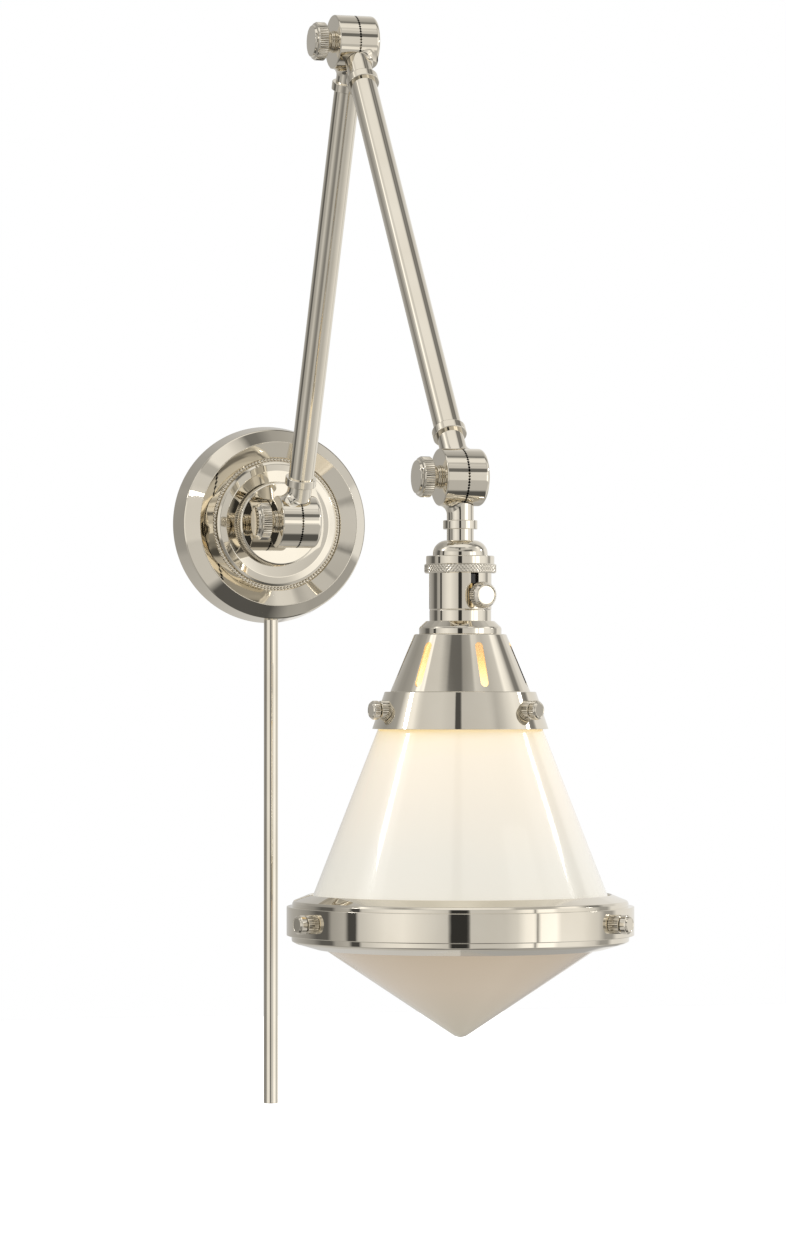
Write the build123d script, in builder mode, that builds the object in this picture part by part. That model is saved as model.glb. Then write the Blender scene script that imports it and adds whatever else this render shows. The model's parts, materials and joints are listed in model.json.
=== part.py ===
"""Swing arm wall sconce: a domed backplate, two arms joined by clamped hinges, and a
turn-key socket that carries a vented canopy and a two-piece opal glass shade.

Millimetres, +Z up. The wall is the plane y = 0 and the sconce stands out towards -Y.
The origin is the centre of the backplate on the wall. Both arms lie in the plane x = 0.
"""

from build123d import *
from math import cos, pi, radians, sin
import os

# Driving dimensions
WALL_STANDOFF = 66.0  # wall to the first hinge axis
LOWER_LENGTH = 329.0  # first hinge to elbow
LOWER_LEAN = 22.4  # degrees from straight up, towards the room
FORE_LENGTH = 358.5  # elbow to shade hinge
FORE_LEAN = 36.5  # degrees from straight down, towards the room
PLATE_RADIUS = 66.7
RING_RADIUS = 104.4

# Hinge barrels
BARREL_RADIUS = 17.3
HALF_LENGTH = 13.6
SEAM_CLEAR = 0.06  # each half's tooth tips stop this far from the seam plane
TOOTH_COUNT = 60
TOOTH_DEPTH = 0.6
RIM_INNER = 13.6  # inside of the toothed rim
CAVITY_RADIUS = 12.4
CAVITY_DEPTH = 9.0
HUB_RADIUS = 5.6
SCREW_RADIUS = 2.95
SCREW_HOLE = 3.0
SCREW_END = 8.0  # end of the clamp screw, past the seam
BLIND_END = 9.0  # bottom of its hole in the far half
SADDLE_CLEAR = 0.35  # neck over the other half's barrel
NECK_RADIUS = 8.1
NECK_BORE = 4.4
FLARE_REACH = 4.6  # concave blend between a neck and its own half
BLEND_SHARE = 0.72  # width of that blend over the neck's diameter

# Arm tubes and their collars
TUBE_RADIUS = 8.4
TUBE_WALL = 1.4
COLLAR_RADIUS = 10.3
COLLAR_LENGTH = 5.4
LOWER_COLLAR_AT = 26.2  # from a hinge axis to the start of a collar
FORE_COLLAR_AT = 31.7
STEM_COLLAR_AT = 25.9
WIRE_RADIUS = 1.3
WIRE_SPACING = 2.8

# Clamp knobs, on the -X end of each barrel
WASHER_RADIUS = 7.2
WASHER_THICK = 2.4
KNOB_NECK_RADIUS = 6.0
KNOB_NECK_LENGTH = 3.0
KNOB_RADIUS = 12.25
KNOB_LENGTH = 9.2
KNOB_FACE_RADIUS = 10.2
KNURL_COUNT = 60

# Backplate, as radius and depth from the wall
PLATE_WALL = 1.2
EDGE_RADIUS = 63.6
EDGE_DEPTH = 18.0
RIDGE_RADIUS = 55.4
RIDGE_DEPTH = 27.0
GROOVE_OUTER = 44.8
GROOVE_INNER = 42.2
GROOVE_DEPTH = 22.4
FLOOR_DEPTH = 24.0
BOSS_RADIUS = 28.2
BOSS_DEPTH = 31.0
BOSS_KNURLS = 150
BEAD_COUNT = 110
BEAD_RADIUS = 1.15
STEM_RADIUS = 6.0  # swivel stem through the boss
BUSH_RADIUS = 8.5

# Crossbar behind the backplate
BAR_FRONT = 5.2  # its front face to the wall
BAR_THICK = 2.2
BAR_LENGTH = 112.0
BAR_WIDTH = 20.0
SLOT_SPACING = 88.9
SLOT_LENGTH = 14.0
SLOT_WIDTH = 4.6
GROUND_PLACE = (22.0, -4.0)  # across and up from the centre
GROUND_RADIUS = 1.85

# Cord cover
COVER_RADIUS = 4.8
COVER_BORE = 4.1
COVER_OFFSET = 8.5  # axis to wall
COVER_TOP = -54.0
COVER_BOTTOM = -391.0

# Socket and shade, as depth below the shade hinge axis
CAP_TOP = 37.8
CAP_RADIUS = 16.5
BAND_TOP = 47.3
BAND_RADIUS = 20.5
KNURL_TOP = 52.1
KNURL_RADIUS = 21.75
SHELL_TOP = 57.8
SHELL_RADIUS = 18.75
SHELL_SEAM = 79.8
SHELL_BOTTOM = 86.5
SWITCH_DEPTH = 71.3
SWITCH_TURN = 9.0  # degrees round from the front, towards +X
SWITCH_RADIUS = 7.9
SWITCH_KNOB_START = 25.6
SWITCH_KNOB_END = 33.9
SWITCH_SHAFT = 2.1
SWITCH_INNER = 14.8  # inner end of the shaft, from the shade axis
SWITCH_KNURLS = 36
KEYHOLE_WIDTH = 5.3
KEYHOLE_REACH = 20.0  # from the shaft up past the shell's top edge
BODY_TOP = 50.0
BODY_END = 64.0
BODY_RADIUS = 16.6
CUP_RADIUS = 24.8
CANOPY_TOP = 94.4
CANOPY_TOP_RADIUS = 28.0
CANOPY_STEP = 128.9
CANOPY_STEP_RADIUS = 42.1
SKIRT_TOP_RADIUS = 45.7
SKIRT_BOTTOM = 151.3
SKIRT_BOTTOM_RADIUS = 53.0
SHEET = 0.9
VENT_COUNT = 6
VENT_WIDTH = 5.0
VENT_TOP = 99.4
VENT_BOTTOM = 126.0
VENT_TURN = 2.5
NECK_GLASS_RADIUS = 44.0
GLASS_TOP = 131.0
GLASS_SHOULDER = 147.0
GLASS_WALL = 4.0
GLASS_SLOPE = 0.3911  # radius gained per depth
GLASS_REF_DEPTH = 154.6
GLASS_REF_RADIUS = 50.8
GLASS_BOTTOM = 252.8
FLANGE_THICK = 6.0
FLANGE_RADIUS = 99.0
LIP_TOP = 250.6
BAND_START = 257.7
BAND_END = 275.1
SLEEVE_TOP = 261.0
LOWER_LIP_RADIUS = 101.3
LOWER_LIP_END = 283.3
LOWER_LIP_BORE = 86.5
BOWL_TIP = 336.6
BOWL_SLOPE = 1.506
BOWL_REF_DEPTH = 333.2
BOWL_REF_RADIUS = 7.1
SCREW_TURNS_CANOPY = (-85.0, 35.0, 155.0)
SCREW_TURNS_RING = (-77.0, 43.0, 163.0)
THUMB_RADIUS = 5.7
THUMB_KNURLS = 30
THUMB_SHANK = 1.65
THUMB_LENGTH = 5.0
THUMB_GAP = 0.6
NUT_LENGTH = 3.8
CANOPY_SCREW_DROP = 140.0
RING_SCREW_DROP = 266.4
BULB_RADIUS = 30.0

# Hinge centres
SHOULDER = Vector(0, -WALL_STANDOFF, 0)
LOWER_UP = Vector(0, -sin(radians(LOWER_LEAN)), cos(radians(LOWER_LEAN)))
ELBOW = SHOULDER + LOWER_UP * LOWER_LENGTH
FORE_DOWN = Vector(0, -sin(radians(FORE_LEAN)), -cos(radians(FORE_LEAN)))
SHADE = ELBOW + FORE_DOWN * FORE_LENGTH
ACROSS = Vector(1, 0, 0)

os.makedirs("parts", exist_ok=True)


def save(piece, name):
    """Label a finished sub-part and write its STEP file."""
    piece.part.label = name
    export_step(piece.part, f"parts/{name}.step")


def along(centre, direction):
    """Plane whose normal runs along a neck or tube, local x along the hinge axis."""
    return Plane(origin=centre, x_dir=ACROSS, z_dir=direction)


def beside(centre):
    """Plane for a profile of (distance along the hinge axis, radius)."""
    return Plane(origin=centre, x_dir=ACROSS, z_dir=(0, 0, 1))


OUTWARD = Plane(origin=(0, 0, 0), x_dir=(1, 0, 0), z_dir=(0, -1, 0))  # the wall, facing the room
WALL_PROFILE = Plane(origin=(0, 0, 0), x_dir=(1, 0, 0), z_dir=(0, 0, -1))  # (radius, depth)
SHADE_PROFILE = Plane(origin=SHADE, x_dir=(1, 0, 0), z_dir=(0, 1, 0))  # (radius, drop)
SHADE_AXIS = Axis(SHADE, (0, 0, 1))


def turned(turn):
    """Outward direction at an angle round the shade axis, from the front towards +X."""
    return Vector(sin(radians(turn)), -cos(radians(turn)), 0)


def radial_plane(turn, drop, reach=0.0):
    """Plane facing outward at a turn and drop on the shade."""
    outward = turned(turn)
    centre = SHADE + outward * reach + Vector(0, 0, -drop)
    return Plane(origin=centre, x_dir=(0, 0, 1), z_dir=outward)


def below_shade(drop):
    """Level plane at a drop below the shade hinge, facing down."""
    return Plane(origin=SHADE + Vector(0, 0, -drop), x_dir=(1, 0, 0), z_dir=(0, 0, -1))


def lathe(plane, axis, points):
    """Solid of revolution of a closed polygon of (radius, position) points."""
    with BuildPart() as piece:
        with BuildSketch(plane):
            with BuildLine():
                Polyline(*points, close=True)
            make_face()
        revolve(axis=axis)
    return piece


def ridged_disc(plane, radius, depth, count, thickness):
    """Straight-knurled disc: a many-pointed outline extruded from its plane."""
    with BuildPart() as piece:
        with BuildSketch(plane):
            with BuildLine():
                points = []
                for tooth in range(count):
                    for part, reach in ((0, radius), (0.5, radius - depth)):
                        turn = radians(360 * (tooth + part) / count)
                        points.append((reach * cos(turn), reach * sin(turn)))
                Polyline(*points, close=True)
            make_face()
        extrude(amount=thickness)
    return piece


# ---------------------------------------------------------------- hinge halves


def half_profile(side, outer_round):
    """Barrel half as (x, radius) points, hollow round the clamp screw's hub."""
    seam = side * SEAM_CLEAR
    inset = side * (SEAM_CLEAR + TOOTH_DEPTH)
    end = side * HALF_LENGTH
    floor = side * CAVITY_DEPTH
    if side < 0:
        bore = [(end, SCREW_HOLE)]
    else:
        bore = [(end, 0), (BLIND_END, 0), (BLIND_END, SCREW_HOLE)]
    return [
        (seam, RIM_INNER),
        (seam, BARREL_RADIUS),
        (end - side * outer_round, BARREL_RADIUS),
        (end - side * outer_round * 0.3, BARREL_RADIUS - outer_round * 0.3),
        (end, BARREL_RADIUS - outer_round),
        *bore,
        (inset, SCREW_HOLE),
        (inset, HUB_RADIUS),
        (floor, HUB_RADIUS),
        (floor, CAVITY_RADIUS),
        (inset, CAVITY_RADIUS),
        (inset, RIM_INNER),
    ]


def hinge_half(name, centre, direction, side, collar_at, outer_round):
    """One half of a clamped hinge: toothed barrel half, blended neck and wire bore.

    side is -1 for the half towards the knob and +1 for the far half. The neck is
    centred on the seam, so it is cut to a saddle over the other half.
    """
    neck_plane = along(centre, direction)
    neck_end = collar_at + COLLAR_LENGTH / 2
    sunk = BARREL_RADIUS - 4.0  # the neck starts inside the barrel's wall
    half_pitch = pi * BARREL_RADIUS / TOOTH_COUNT
    tooth_tip = SEAM_CLEAR - 0.02
    with BuildPart() as piece:
        # neck and blend, before the saddle is cut
        with BuildSketch(neck_plane.offset(sunk)):
            Circle(NECK_RADIUS)
        extrude(amount=neck_end - sunk)
        root = BARREL_RADIUS - 1.2
        blend_width = 2 * NECK_RADIUS * BLEND_SHARE
        blend_plane = Plane(origin=centre, x_dir=ACROSS, z_dir=neck_plane.y_dir * -1)
        with BuildSketch(blend_plane.offset(-blend_width / 2)):
            with BuildLine():
                low = (side * (NECK_RADIUS + FLARE_REACH - 0.6), root)
                high = (side * (NECK_RADIUS - 0.9), root + FLARE_REACH + 0.8)
                middle = (side * (NECK_RADIUS + 0.7), root + 1.9)
                ThreePointArc(low, middle, high)
                Polyline(high, (0, high[1]), (0, root), low)
            make_face()
        extrude(amount=blend_width)
        # saddle over the other half
        with BuildSketch(Plane.YZ.offset(side * SEAM_CLEAR)):
            with Locations((centre.Y, centre.Z)):
                Circle(BARREL_RADIUS + SADDLE_CLEAR)
        extrude(amount=-side * 2 * HALF_LENGTH, mode=Mode.SUBTRACT)
        # barrel half
        with BuildSketch(beside(centre)):
            with BuildLine():
                Polyline(*half_profile(side, outer_round), close=True)
            make_face()
        revolve(axis=Axis(centre, (1, 0, 0)))
        # wire bore from the cavity through the neck
        with BuildSketch(neck_plane.offset(HUB_RADIUS + 4)):
            Circle(NECK_BORE)
        extrude(amount=neck_end, mode=Mode.SUBTRACT)
        # radial teeth round the rim of the seam face
        for tooth in range(TOOTH_COUNT):
            turn = radians(360 * (tooth + 0.25 + 0.25 * side) / TOOTH_COUNT)
            outward = Vector(0, cos(turn), sin(turn))
            plane = Plane(
                origin=centre + outward * (RIM_INNER - 0.4),
                x_dir=ACROSS,
                z_dir=outward,
            )
            with BuildSketch(plane):
                Polygon(
                    (side * tooth_tip, -half_pitch),
                    (side * tooth_tip, half_pitch),
                    (side * (SEAM_CLEAR + TOOTH_DEPTH), 0),
                    align=None,
                )
        extrude(amount=BARREL_RADIUS - RIM_INNER + 0.6, mode=Mode.SUBTRACT)
    save(piece, name)


def hinge_halves():
    """Both halves of the wall, elbow and shade hinges."""
    hinge_half("wall_hinge_left", SHOULDER, LOWER_UP, -1, LOWER_COLLAR_AT, 0.7)
    hinge_half("wall_hinge_right", SHOULDER, Vector(0, 1, 0), 1, LOWER_COLLAR_AT, 2.4)
    hinge_half("elbow_hinge_left", ELBOW, LOWER_UP * -1, -1, LOWER_COLLAR_AT, 0.7)
    hinge_half("elbow_hinge_right", ELBOW, FORE_DOWN, 1, FORE_COLLAR_AT, 2.4)
    hinge_half("shade_hinge_right", SHADE, FORE_DOWN * -1, 1, FORE_COLLAR_AT, 2.4)
    hinge_half("shade_hinge_left", SHADE, Vector(0, 0, -1), -1, STEM_COLLAR_AT, 0.7)


# ---------------------------------------------------------------- clamp knobs


def clamp_knob(name, centre):
    """Knurled clamp knob with its screw, and the washer between knob and barrel."""
    washer_face = -HALF_LENGTH - WASHER_THICK
    head_back = washer_face - KNOB_NECK_LENGTH
    head_front = head_back - KNOB_LENGTH
    step = 1.6
    ends = Axis(centre, (1, 0, 0))
    washer = [
        (-HALF_LENGTH, SCREW_HOLE + 0.2),
        (-HALF_LENGTH, WASHER_RADIUS - 0.5),
        (-HALF_LENGTH - 0.6, WASHER_RADIUS),
        (washer_face + 0.6, WASHER_RADIUS),
        (washer_face, WASHER_RADIUS - 0.5),
        (washer_face, SCREW_HOLE + 0.2),
    ]
    save(lathe(beside(centre), ends, washer), f"{name}_washer")
    body = [
        (SCREW_END, 0),
        (SCREW_END, SCREW_RADIUS - 0.6),
        (SCREW_END - 0.6, SCREW_RADIUS),
        (washer_face - 0.05, SCREW_RADIUS),
        (washer_face - 0.05, KNOB_NECK_RADIUS),
        (head_back + 0.6, KNOB_NECK_RADIUS + 1.2),
        (head_back, KNOB_RADIUS - 0.9),
        (head_back - 0.7, KNOB_RADIUS - 0.55),
        (head_front + step + 0.8, KNOB_RADIUS - 0.55),
        (head_front + step, KNOB_FACE_RADIUS + 0.9),
        (head_front + step - 0.2, KNOB_FACE_RADIUS),
        (head_front + 0.6, KNOB_FACE_RADIUS),
        (head_front, KNOB_FACE_RADIUS - 0.6),
        (head_front, 0),
    ]
    knurl_back = centre + ACROSS * (head_back - 0.7)
    knurl_plane = Plane(origin=knurl_back, x_dir=(0, 1, 0), z_dir=(-1, 0, 0))
    knurl_length = KNOB_LENGTH - step - 1.5
    knurl = ridged_disc(knurl_plane, KNOB_RADIUS, 0.45, KNURL_COUNT, knurl_length)
    turned_body = lathe(beside(centre), ends, body)
    with BuildPart() as knob:
        add(turned_body.part)
        add(knurl.part)
    save(knob, name)


# ---------------------------------------------------------------- arms


def collar(centre, direction, start):
    """Ring that covers the seat of an arm tube on a hinge neck."""
    plane = Plane(origin=centre, x_dir=ACROSS, z_dir=ACROSS.cross(direction))
    middle = start + COLLAR_LENGTH / 2
    end = start + COLLAR_LENGTH
    profile = [
        (NECK_RADIUS, start),
        (COLLAR_RADIUS - 0.5, start),
        (COLLAR_RADIUS, start + 0.5),
        (COLLAR_RADIUS, end - 0.5),
        (COLLAR_RADIUS - 0.5, end),
        (TUBE_RADIUS, end),
        (TUBE_RADIUS, middle),
        (NECK_RADIUS, middle),
    ]
    return lathe(plane, Axis(centre, direction), profile)


def arm(name, start, direction, length, collar_at):
    """Arm tube between two hinges, its two collars and the pair of wires inside."""
    plane = along(start, direction)
    seat = collar_at + COLLAR_LENGTH / 2
    with BuildPart() as tube:
        with BuildSketch(plane.offset(seat)):
            Circle(TUBE_RADIUS)
            Circle(TUBE_RADIUS - TUBE_WALL, mode=Mode.SUBTRACT)
        extrude(amount=length - 2 * seat)
    save(tube, f"{name}_tube")
    near = collar(start, direction, collar_at)
    far = collar(start + direction * length, direction * -1, collar_at)
    with BuildPart() as collars:
        add(near.part)
        add(far.part)
    save(collars, f"{name}_collars")
    with BuildPart() as wires:
        with BuildSketch(plane.offset(BARREL_RADIUS)):
            with Locations((-WIRE_SPACING / 2, 0), (WIRE_SPACING / 2, 0)):
                Circle(WIRE_RADIUS)
        extrude(amount=length - 2 * BARREL_RADIUS)
    save(wires, f"{name}_wires")


# ---------------------------------------------------------------- wall side


def backplate():
    """Spun canopy: sloped wall, bevel, dished band, bead groove and a flat floor."""
    skin = PLATE_WALL
    outer = [
        (PLATE_RADIUS, 0),
        (PLATE_RADIUS - 0.2, 0.8),
        (EDGE_RADIUS + 0.4, EDGE_DEPTH - 1.2),
        (EDGE_RADIUS, EDGE_DEPTH - 0.3),
        (EDGE_RADIUS - 0.9, EDGE_DEPTH + 0.3),
        (RIDGE_RADIUS + 0.5, RIDGE_DEPTH - 0.4),
        (RIDGE_RADIUS - 0.4, RIDGE_DEPTH),
        (GROOVE_OUTER, GROOVE_DEPTH + 0.2),
        (GROOVE_OUTER, GROOVE_DEPTH - 1.6),
        (GROOVE_INNER, GROOVE_DEPTH - 1.6),
        (GROOVE_INNER, FLOOR_DEPTH - 1.2),
        (GROOVE_INNER - 1.4, FLOOR_DEPTH - 0.2),
        (36.0, FLOOR_DEPTH + 0.7),
        (BOSS_RADIUS + 0.2, FLOOR_DEPTH),
    ]
    inner = [
        (BOSS_RADIUS + 0.2, FLOOR_DEPTH - skin),
        (36.0, FLOOR_DEPTH + 0.7 - skin),
        (GROOVE_INNER - 1.2, FLOOR_DEPTH - 1.8),
        (GROOVE_INNER - 1.2, GROOVE_DEPTH - 1.6 - skin),
        (GROOVE_OUTER + skin, GROOVE_DEPTH - 1.6 - skin),
        (GROOVE_OUTER + skin, GROOVE_DEPTH - 0.7),
        (RIDGE_RADIUS - 0.5, RIDGE_DEPTH - 1.5),
        (EDGE_RADIUS - 1.6, EDGE_DEPTH - 0.9),
        (PLATE_RADIUS - skin, 0),
    ]
    hole = [(BUSH_RADIUS, FLOOR_DEPTH), (BUSH_RADIUS, FLOOR_DEPTH - skin)]
    with BuildPart() as plate:
        with BuildSketch(WALL_PROFILE):
            with BuildLine():
                Polyline(*outer, *hole, *inner, close=True)
            make_face()
        revolve(axis=Axis.Y)
        # outlet for the cord cover through the lower edge
        with BuildSketch(Plane.XY.offset(COVER_TOP)):
            with Locations((0, -COVER_OFFSET)):
                Circle(COVER_RADIUS + 0.05)
        extrude(amount=-30, mode=Mode.SUBTRACT)
    save(plate, "backplate")


def boss():
    """Coin-edged boss in the middle of the backplate, bored for the swivel bush."""
    rim_length = BOSS_DEPTH - FLOOR_DEPTH - 2.0
    rim = ridged_disc(OUTWARD.offset(FLOOR_DEPTH + 0.8), BOSS_RADIUS, 0.5, BOSS_KNURLS, rim_length)
    profile = [
        (BUSH_RADIUS, FLOOR_DEPTH),
        (BOSS_RADIUS - 1.0, FLOOR_DEPTH),
        (BOSS_RADIUS - 0.6, FLOOR_DEPTH + 0.8),
        (BOSS_RADIUS - 0.6, BOSS_DEPTH - 1.2),
        (BOSS_RADIUS - 0.7, BOSS_DEPTH - 0.4),
        (BOSS_RADIUS - 1.4, BOSS_DEPTH),
        (BUSH_RADIUS, BOSS_DEPTH),
    ]
    core = lathe(WALL_PROFILE, Axis.Y, profile)
    with BuildPart() as piece:
        add(rim.part)
        with BuildSketch(OUTWARD):
            Circle(BUSH_RADIUS)
        extrude(amount=BOSS_DEPTH + 5, mode=Mode.SUBTRACT)
        add(core.part)
    save(piece, "boss")


def bead_ring():
    """Rope of small beads in the backplate's groove, joined by a thin backing ring."""
    middle = (GROOVE_OUTER + GROOVE_INNER) / 2
    seat = GROOVE_DEPTH - 1.6
    backing = [
        (GROOVE_INNER + 0.1, seat),
        (GROOVE_OUTER - 0.1, seat),
        (GROOVE_OUTER - 0.1, seat + 0.7),
        (GROOVE_INNER + 0.1, seat + 0.7),
    ]
    band = lathe(WALL_PROFILE, Axis.Y, backing)
    with BuildPart() as ring:
        add(band.part)
        with BuildSketch(OUTWARD.offset(seat + 0.5)):
            with PolarLocations(middle, BEAD_COUNT):
                RegularPolygon(BEAD_RADIUS, 4)
        extrude(amount=1.1, taper=25)
    save(ring, "bead_ring")


def wall_fixings():
    """Crossbar, threaded nipple, nuts, bush and ground screw behind the backplate."""
    thread = BUSH_RADIUS - 0.4
    bush_tail = BAR_FRONT - BAR_THICK - 2.0
    with BuildPart() as bar:
        with BuildSketch(OUTWARD.offset(BAR_FRONT)):
            RectangleRounded(BAR_LENGTH, BAR_WIDTH, 4)
            Circle(thread, mode=Mode.SUBTRACT)
            with Locations((-SLOT_SPACING / 2, 0), (SLOT_SPACING / 2, 0)):
                SlotOverall(SLOT_LENGTH, SLOT_WIDTH, mode=Mode.SUBTRACT)
            with Locations(GROUND_PLACE):
                Circle(GROUND_RADIUS + 0.05, mode=Mode.SUBTRACT)
        extrude(amount=-BAR_THICK)
    save(bar, "crossbar")
    bush = [
        (STEM_RADIUS + 0.05, bush_tail),
        (thread, bush_tail),
        (thread, FLOOR_DEPTH - 4.2),
        (BUSH_RADIUS, FLOOR_DEPTH - 4.2),
        (BUSH_RADIUS, BOSS_DEPTH),
        (BUSH_RADIUS + 2.6, BOSS_DEPTH),
        (BUSH_RADIUS + 2.6, BOSS_DEPTH + 1.2),
        (BUSH_RADIUS + 2.0, BOSS_DEPTH + 1.8),
        (STEM_RADIUS + 0.05, BOSS_DEPTH + 1.8),
    ]
    save(lathe(WALL_PROFILE, Axis.Y, bush), "swivel_bush")
    with BuildPart() as plate_nut:
        with BuildSketch(OUTWARD.offset(FLOOR_DEPTH - PLATE_WALL)):
            RegularPolygon(13, 6)
            Circle(BUSH_RADIUS, mode=Mode.SUBTRACT)
        extrude(amount=-3.0)
    save(plate_nut, "plate_nut")
    with BuildPart() as bar_nut:
        with BuildSketch(OUTWARD.offset(BAR_FRONT)):
            RegularPolygon(12, 6)
            Circle(thread, mode=Mode.SUBTRACT)
        extrude(amount=3.2)
    save(bar_nut, "crossbar_nut")
    ground_x, ground_z = GROUND_PLACE
    ground = Plane(origin=(ground_x, -BAR_FRONT, ground_z), x_dir=(1, 0, 0), z_dir=(0, -1, 0))
    with BuildPart() as screw:
        with BuildSketch(ground):
            Circle(3.6)
        extrude(amount=1.8)
        with BuildSketch(ground):
            Circle(GROUND_RADIUS)
        extrude(amount=-3.2)
        with BuildSketch(ground.offset(1.0)):
            Rectangle(8, 0.8)
        extrude(amount=1.0, mode=Mode.SUBTRACT)
    save(screw, "ground_screw")


def swivel_stem():
    """Hollow stem that turns in the bush and carries the wall hinge, with its clip."""
    neck_end = WALL_STANDOFF - LOWER_COLLAR_AT - COLLAR_LENGTH / 2
    tail = 1.6
    stem = [
        (NECK_BORE, tail),
        (STEM_RADIUS, tail),
        (STEM_RADIUS, BOSS_DEPTH + 1.9),
        (TUBE_RADIUS - 0.4, BOSS_DEPTH + 1.9),
        (TUBE_RADIUS - 0.4, neck_end),
        (NECK_BORE, neck_end),
    ]
    save(lathe(WALL_PROFILE, Axis.Y, stem), "swivel_stem")
    wall_collar = [
        (TUBE_RADIUS - 0.4, BOSS_DEPTH + 2.2),
        (COLLAR_RADIUS - 0.5, BOSS_DEPTH + 2.2),
        (COLLAR_RADIUS, BOSS_DEPTH + 2.7),
        (COLLAR_RADIUS, neck_end + 2.2),
        (COLLAR_RADIUS - 0.5, neck_end + 2.7),
        (NECK_RADIUS, neck_end + 2.7),
        (NECK_RADIUS, neck_end),
        (TUBE_RADIUS - 0.4, neck_end),
    ]
    save(lathe(WALL_PROFILE, Axis.Y, wall_collar), "swivel_collar")


def cord_cover():
    """Rigid tube down the wall for the supply cord, and its flange in the plate."""
    with BuildPart() as cover:
        with BuildSketch(Plane.XY.offset(COVER_BOTTOM)):
            with Locations((0, -COVER_OFFSET)):
                Circle(COVER_RADIUS)
                Circle(COVER_BORE, mode=Mode.SUBTRACT)
        extrude(amount=COVER_TOP - COVER_BOTTOM)
    save(cover, "cord_cover")
    with BuildPart() as flange:
        with BuildSketch(Plane.XY.offset(COVER_TOP - 3.0)):
            with Locations((0, -COVER_OFFSET)):
                Circle(COVER_RADIUS + 1.9)
                Circle(COVER_RADIUS, mode=Mode.SUBTRACT)
        extrude(amount=2.4)
    save(flange, "cord_cover_flange")


# ---------------------------------------------------------------- socket


def shade_lathe(name, points):
    """Piece turned about the shade axis from (radius, drop) points."""
    save(lathe(SHADE_PROFILE, SHADE_AXIS, points), name)


def stem_collar():
    """Collar below the shade hinge and the short stem down to the socket cap."""
    middle = STEM_COLLAR_AT + COLLAR_LENGTH / 2
    end = STEM_COLLAR_AT + COLLAR_LENGTH
    shade_lathe(
        "stem_collar",
        [
            (NECK_RADIUS, STEM_COLLAR_AT),
            (COLLAR_RADIUS - 0.5, STEM_COLLAR_AT),
            (COLLAR_RADIUS, STEM_COLLAR_AT + 0.5),
            (COLLAR_RADIUS, end - 0.5),
            (COLLAR_RADIUS - 0.5, end),
            (NECK_RADIUS, end),
        ],
    )
    shade_lathe(
        "socket_stem",
        [
            (NECK_BORE, middle),
            (NECK_RADIUS, middle),
            (NECK_RADIUS, CAP_TOP),
            (5.0, CAP_TOP),
            (5.0, CAP_TOP + 5.0),
            (NECK_BORE, CAP_TOP + 5.0),
        ],
    )


def socket_cap():
    """Domed cap of the socket with its smooth band."""
    wall = 1.0
    with BuildPart() as cap:
        with BuildSketch(SHADE_PROFILE):
            with BuildLine():
                crown = (5.0, CAP_TOP)
                shoulder = (CAP_RADIUS, BAND_TOP - 1.2)
                Polyline(crown, (8.6, CAP_TOP))
                ThreePointArc((8.6, CAP_TOP), (14.0, CAP_TOP + 3.1), shoulder)
                Polyline(
                    shoulder,
                    (CAP_RADIUS, BAND_TOP),
                    (BAND_RADIUS - 0.6, BAND_TOP),
                    (BAND_RADIUS, BAND_TOP + 0.6),
                    (BAND_RADIUS, KNURL_TOP),
                    (CAP_RADIUS + 0.2, KNURL_TOP),
                    (CAP_RADIUS + 0.2, BAND_TOP + wall),
                    (CAP_RADIUS - wall, BAND_TOP + wall),
                    (CAP_RADIUS - wall, BAND_TOP - 0.6),
                )
                ThreePointArc(
                    (CAP_RADIUS - wall, BAND_TOP - 0.6),
                    (13.2, CAP_TOP + 3.8),
                    (8.6, CAP_TOP + wall),
                )
                Polyline((8.6, CAP_TOP + wall), (5.0, CAP_TOP + wall), crown)
            make_face()
        revolve(axis=SHADE_AXIS)
    save(cap, "socket_cap")


def knurled_ring():
    """Knurled ring that joins the socket's cap and shell."""
    plane = below_shade(KNURL_TOP + 0.5)
    height = SHELL_TOP - KNURL_TOP
    knurl = ridged_disc(plane, KNURL_RADIUS, 0.4, 96, height - 1.0)
    core = [
        (CAP_RADIUS + 0.2, KNURL_TOP),
        (KNURL_RADIUS - 0.7, KNURL_TOP),
        (KNURL_RADIUS - 0.5, KNURL_TOP + 0.3),
        (KNURL_RADIUS - 0.5, SHELL_TOP - 0.3),
        (KNURL_RADIUS - 0.7, SHELL_TOP),
        (CAP_RADIUS + 0.2, SHELL_TOP),
    ]
    turned_core = lathe(SHADE_PROFILE, SHADE_AXIS, core)
    with BuildPart() as ring:
        add(knurl.part)
        with BuildSketch(plane.offset(-1)):
            Circle(CAP_RADIUS + 0.2)
        extrude(amount=height + 2, mode=Mode.SUBTRACT)
        add(turned_core.part)
    save(ring, "socket_ring")


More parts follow.
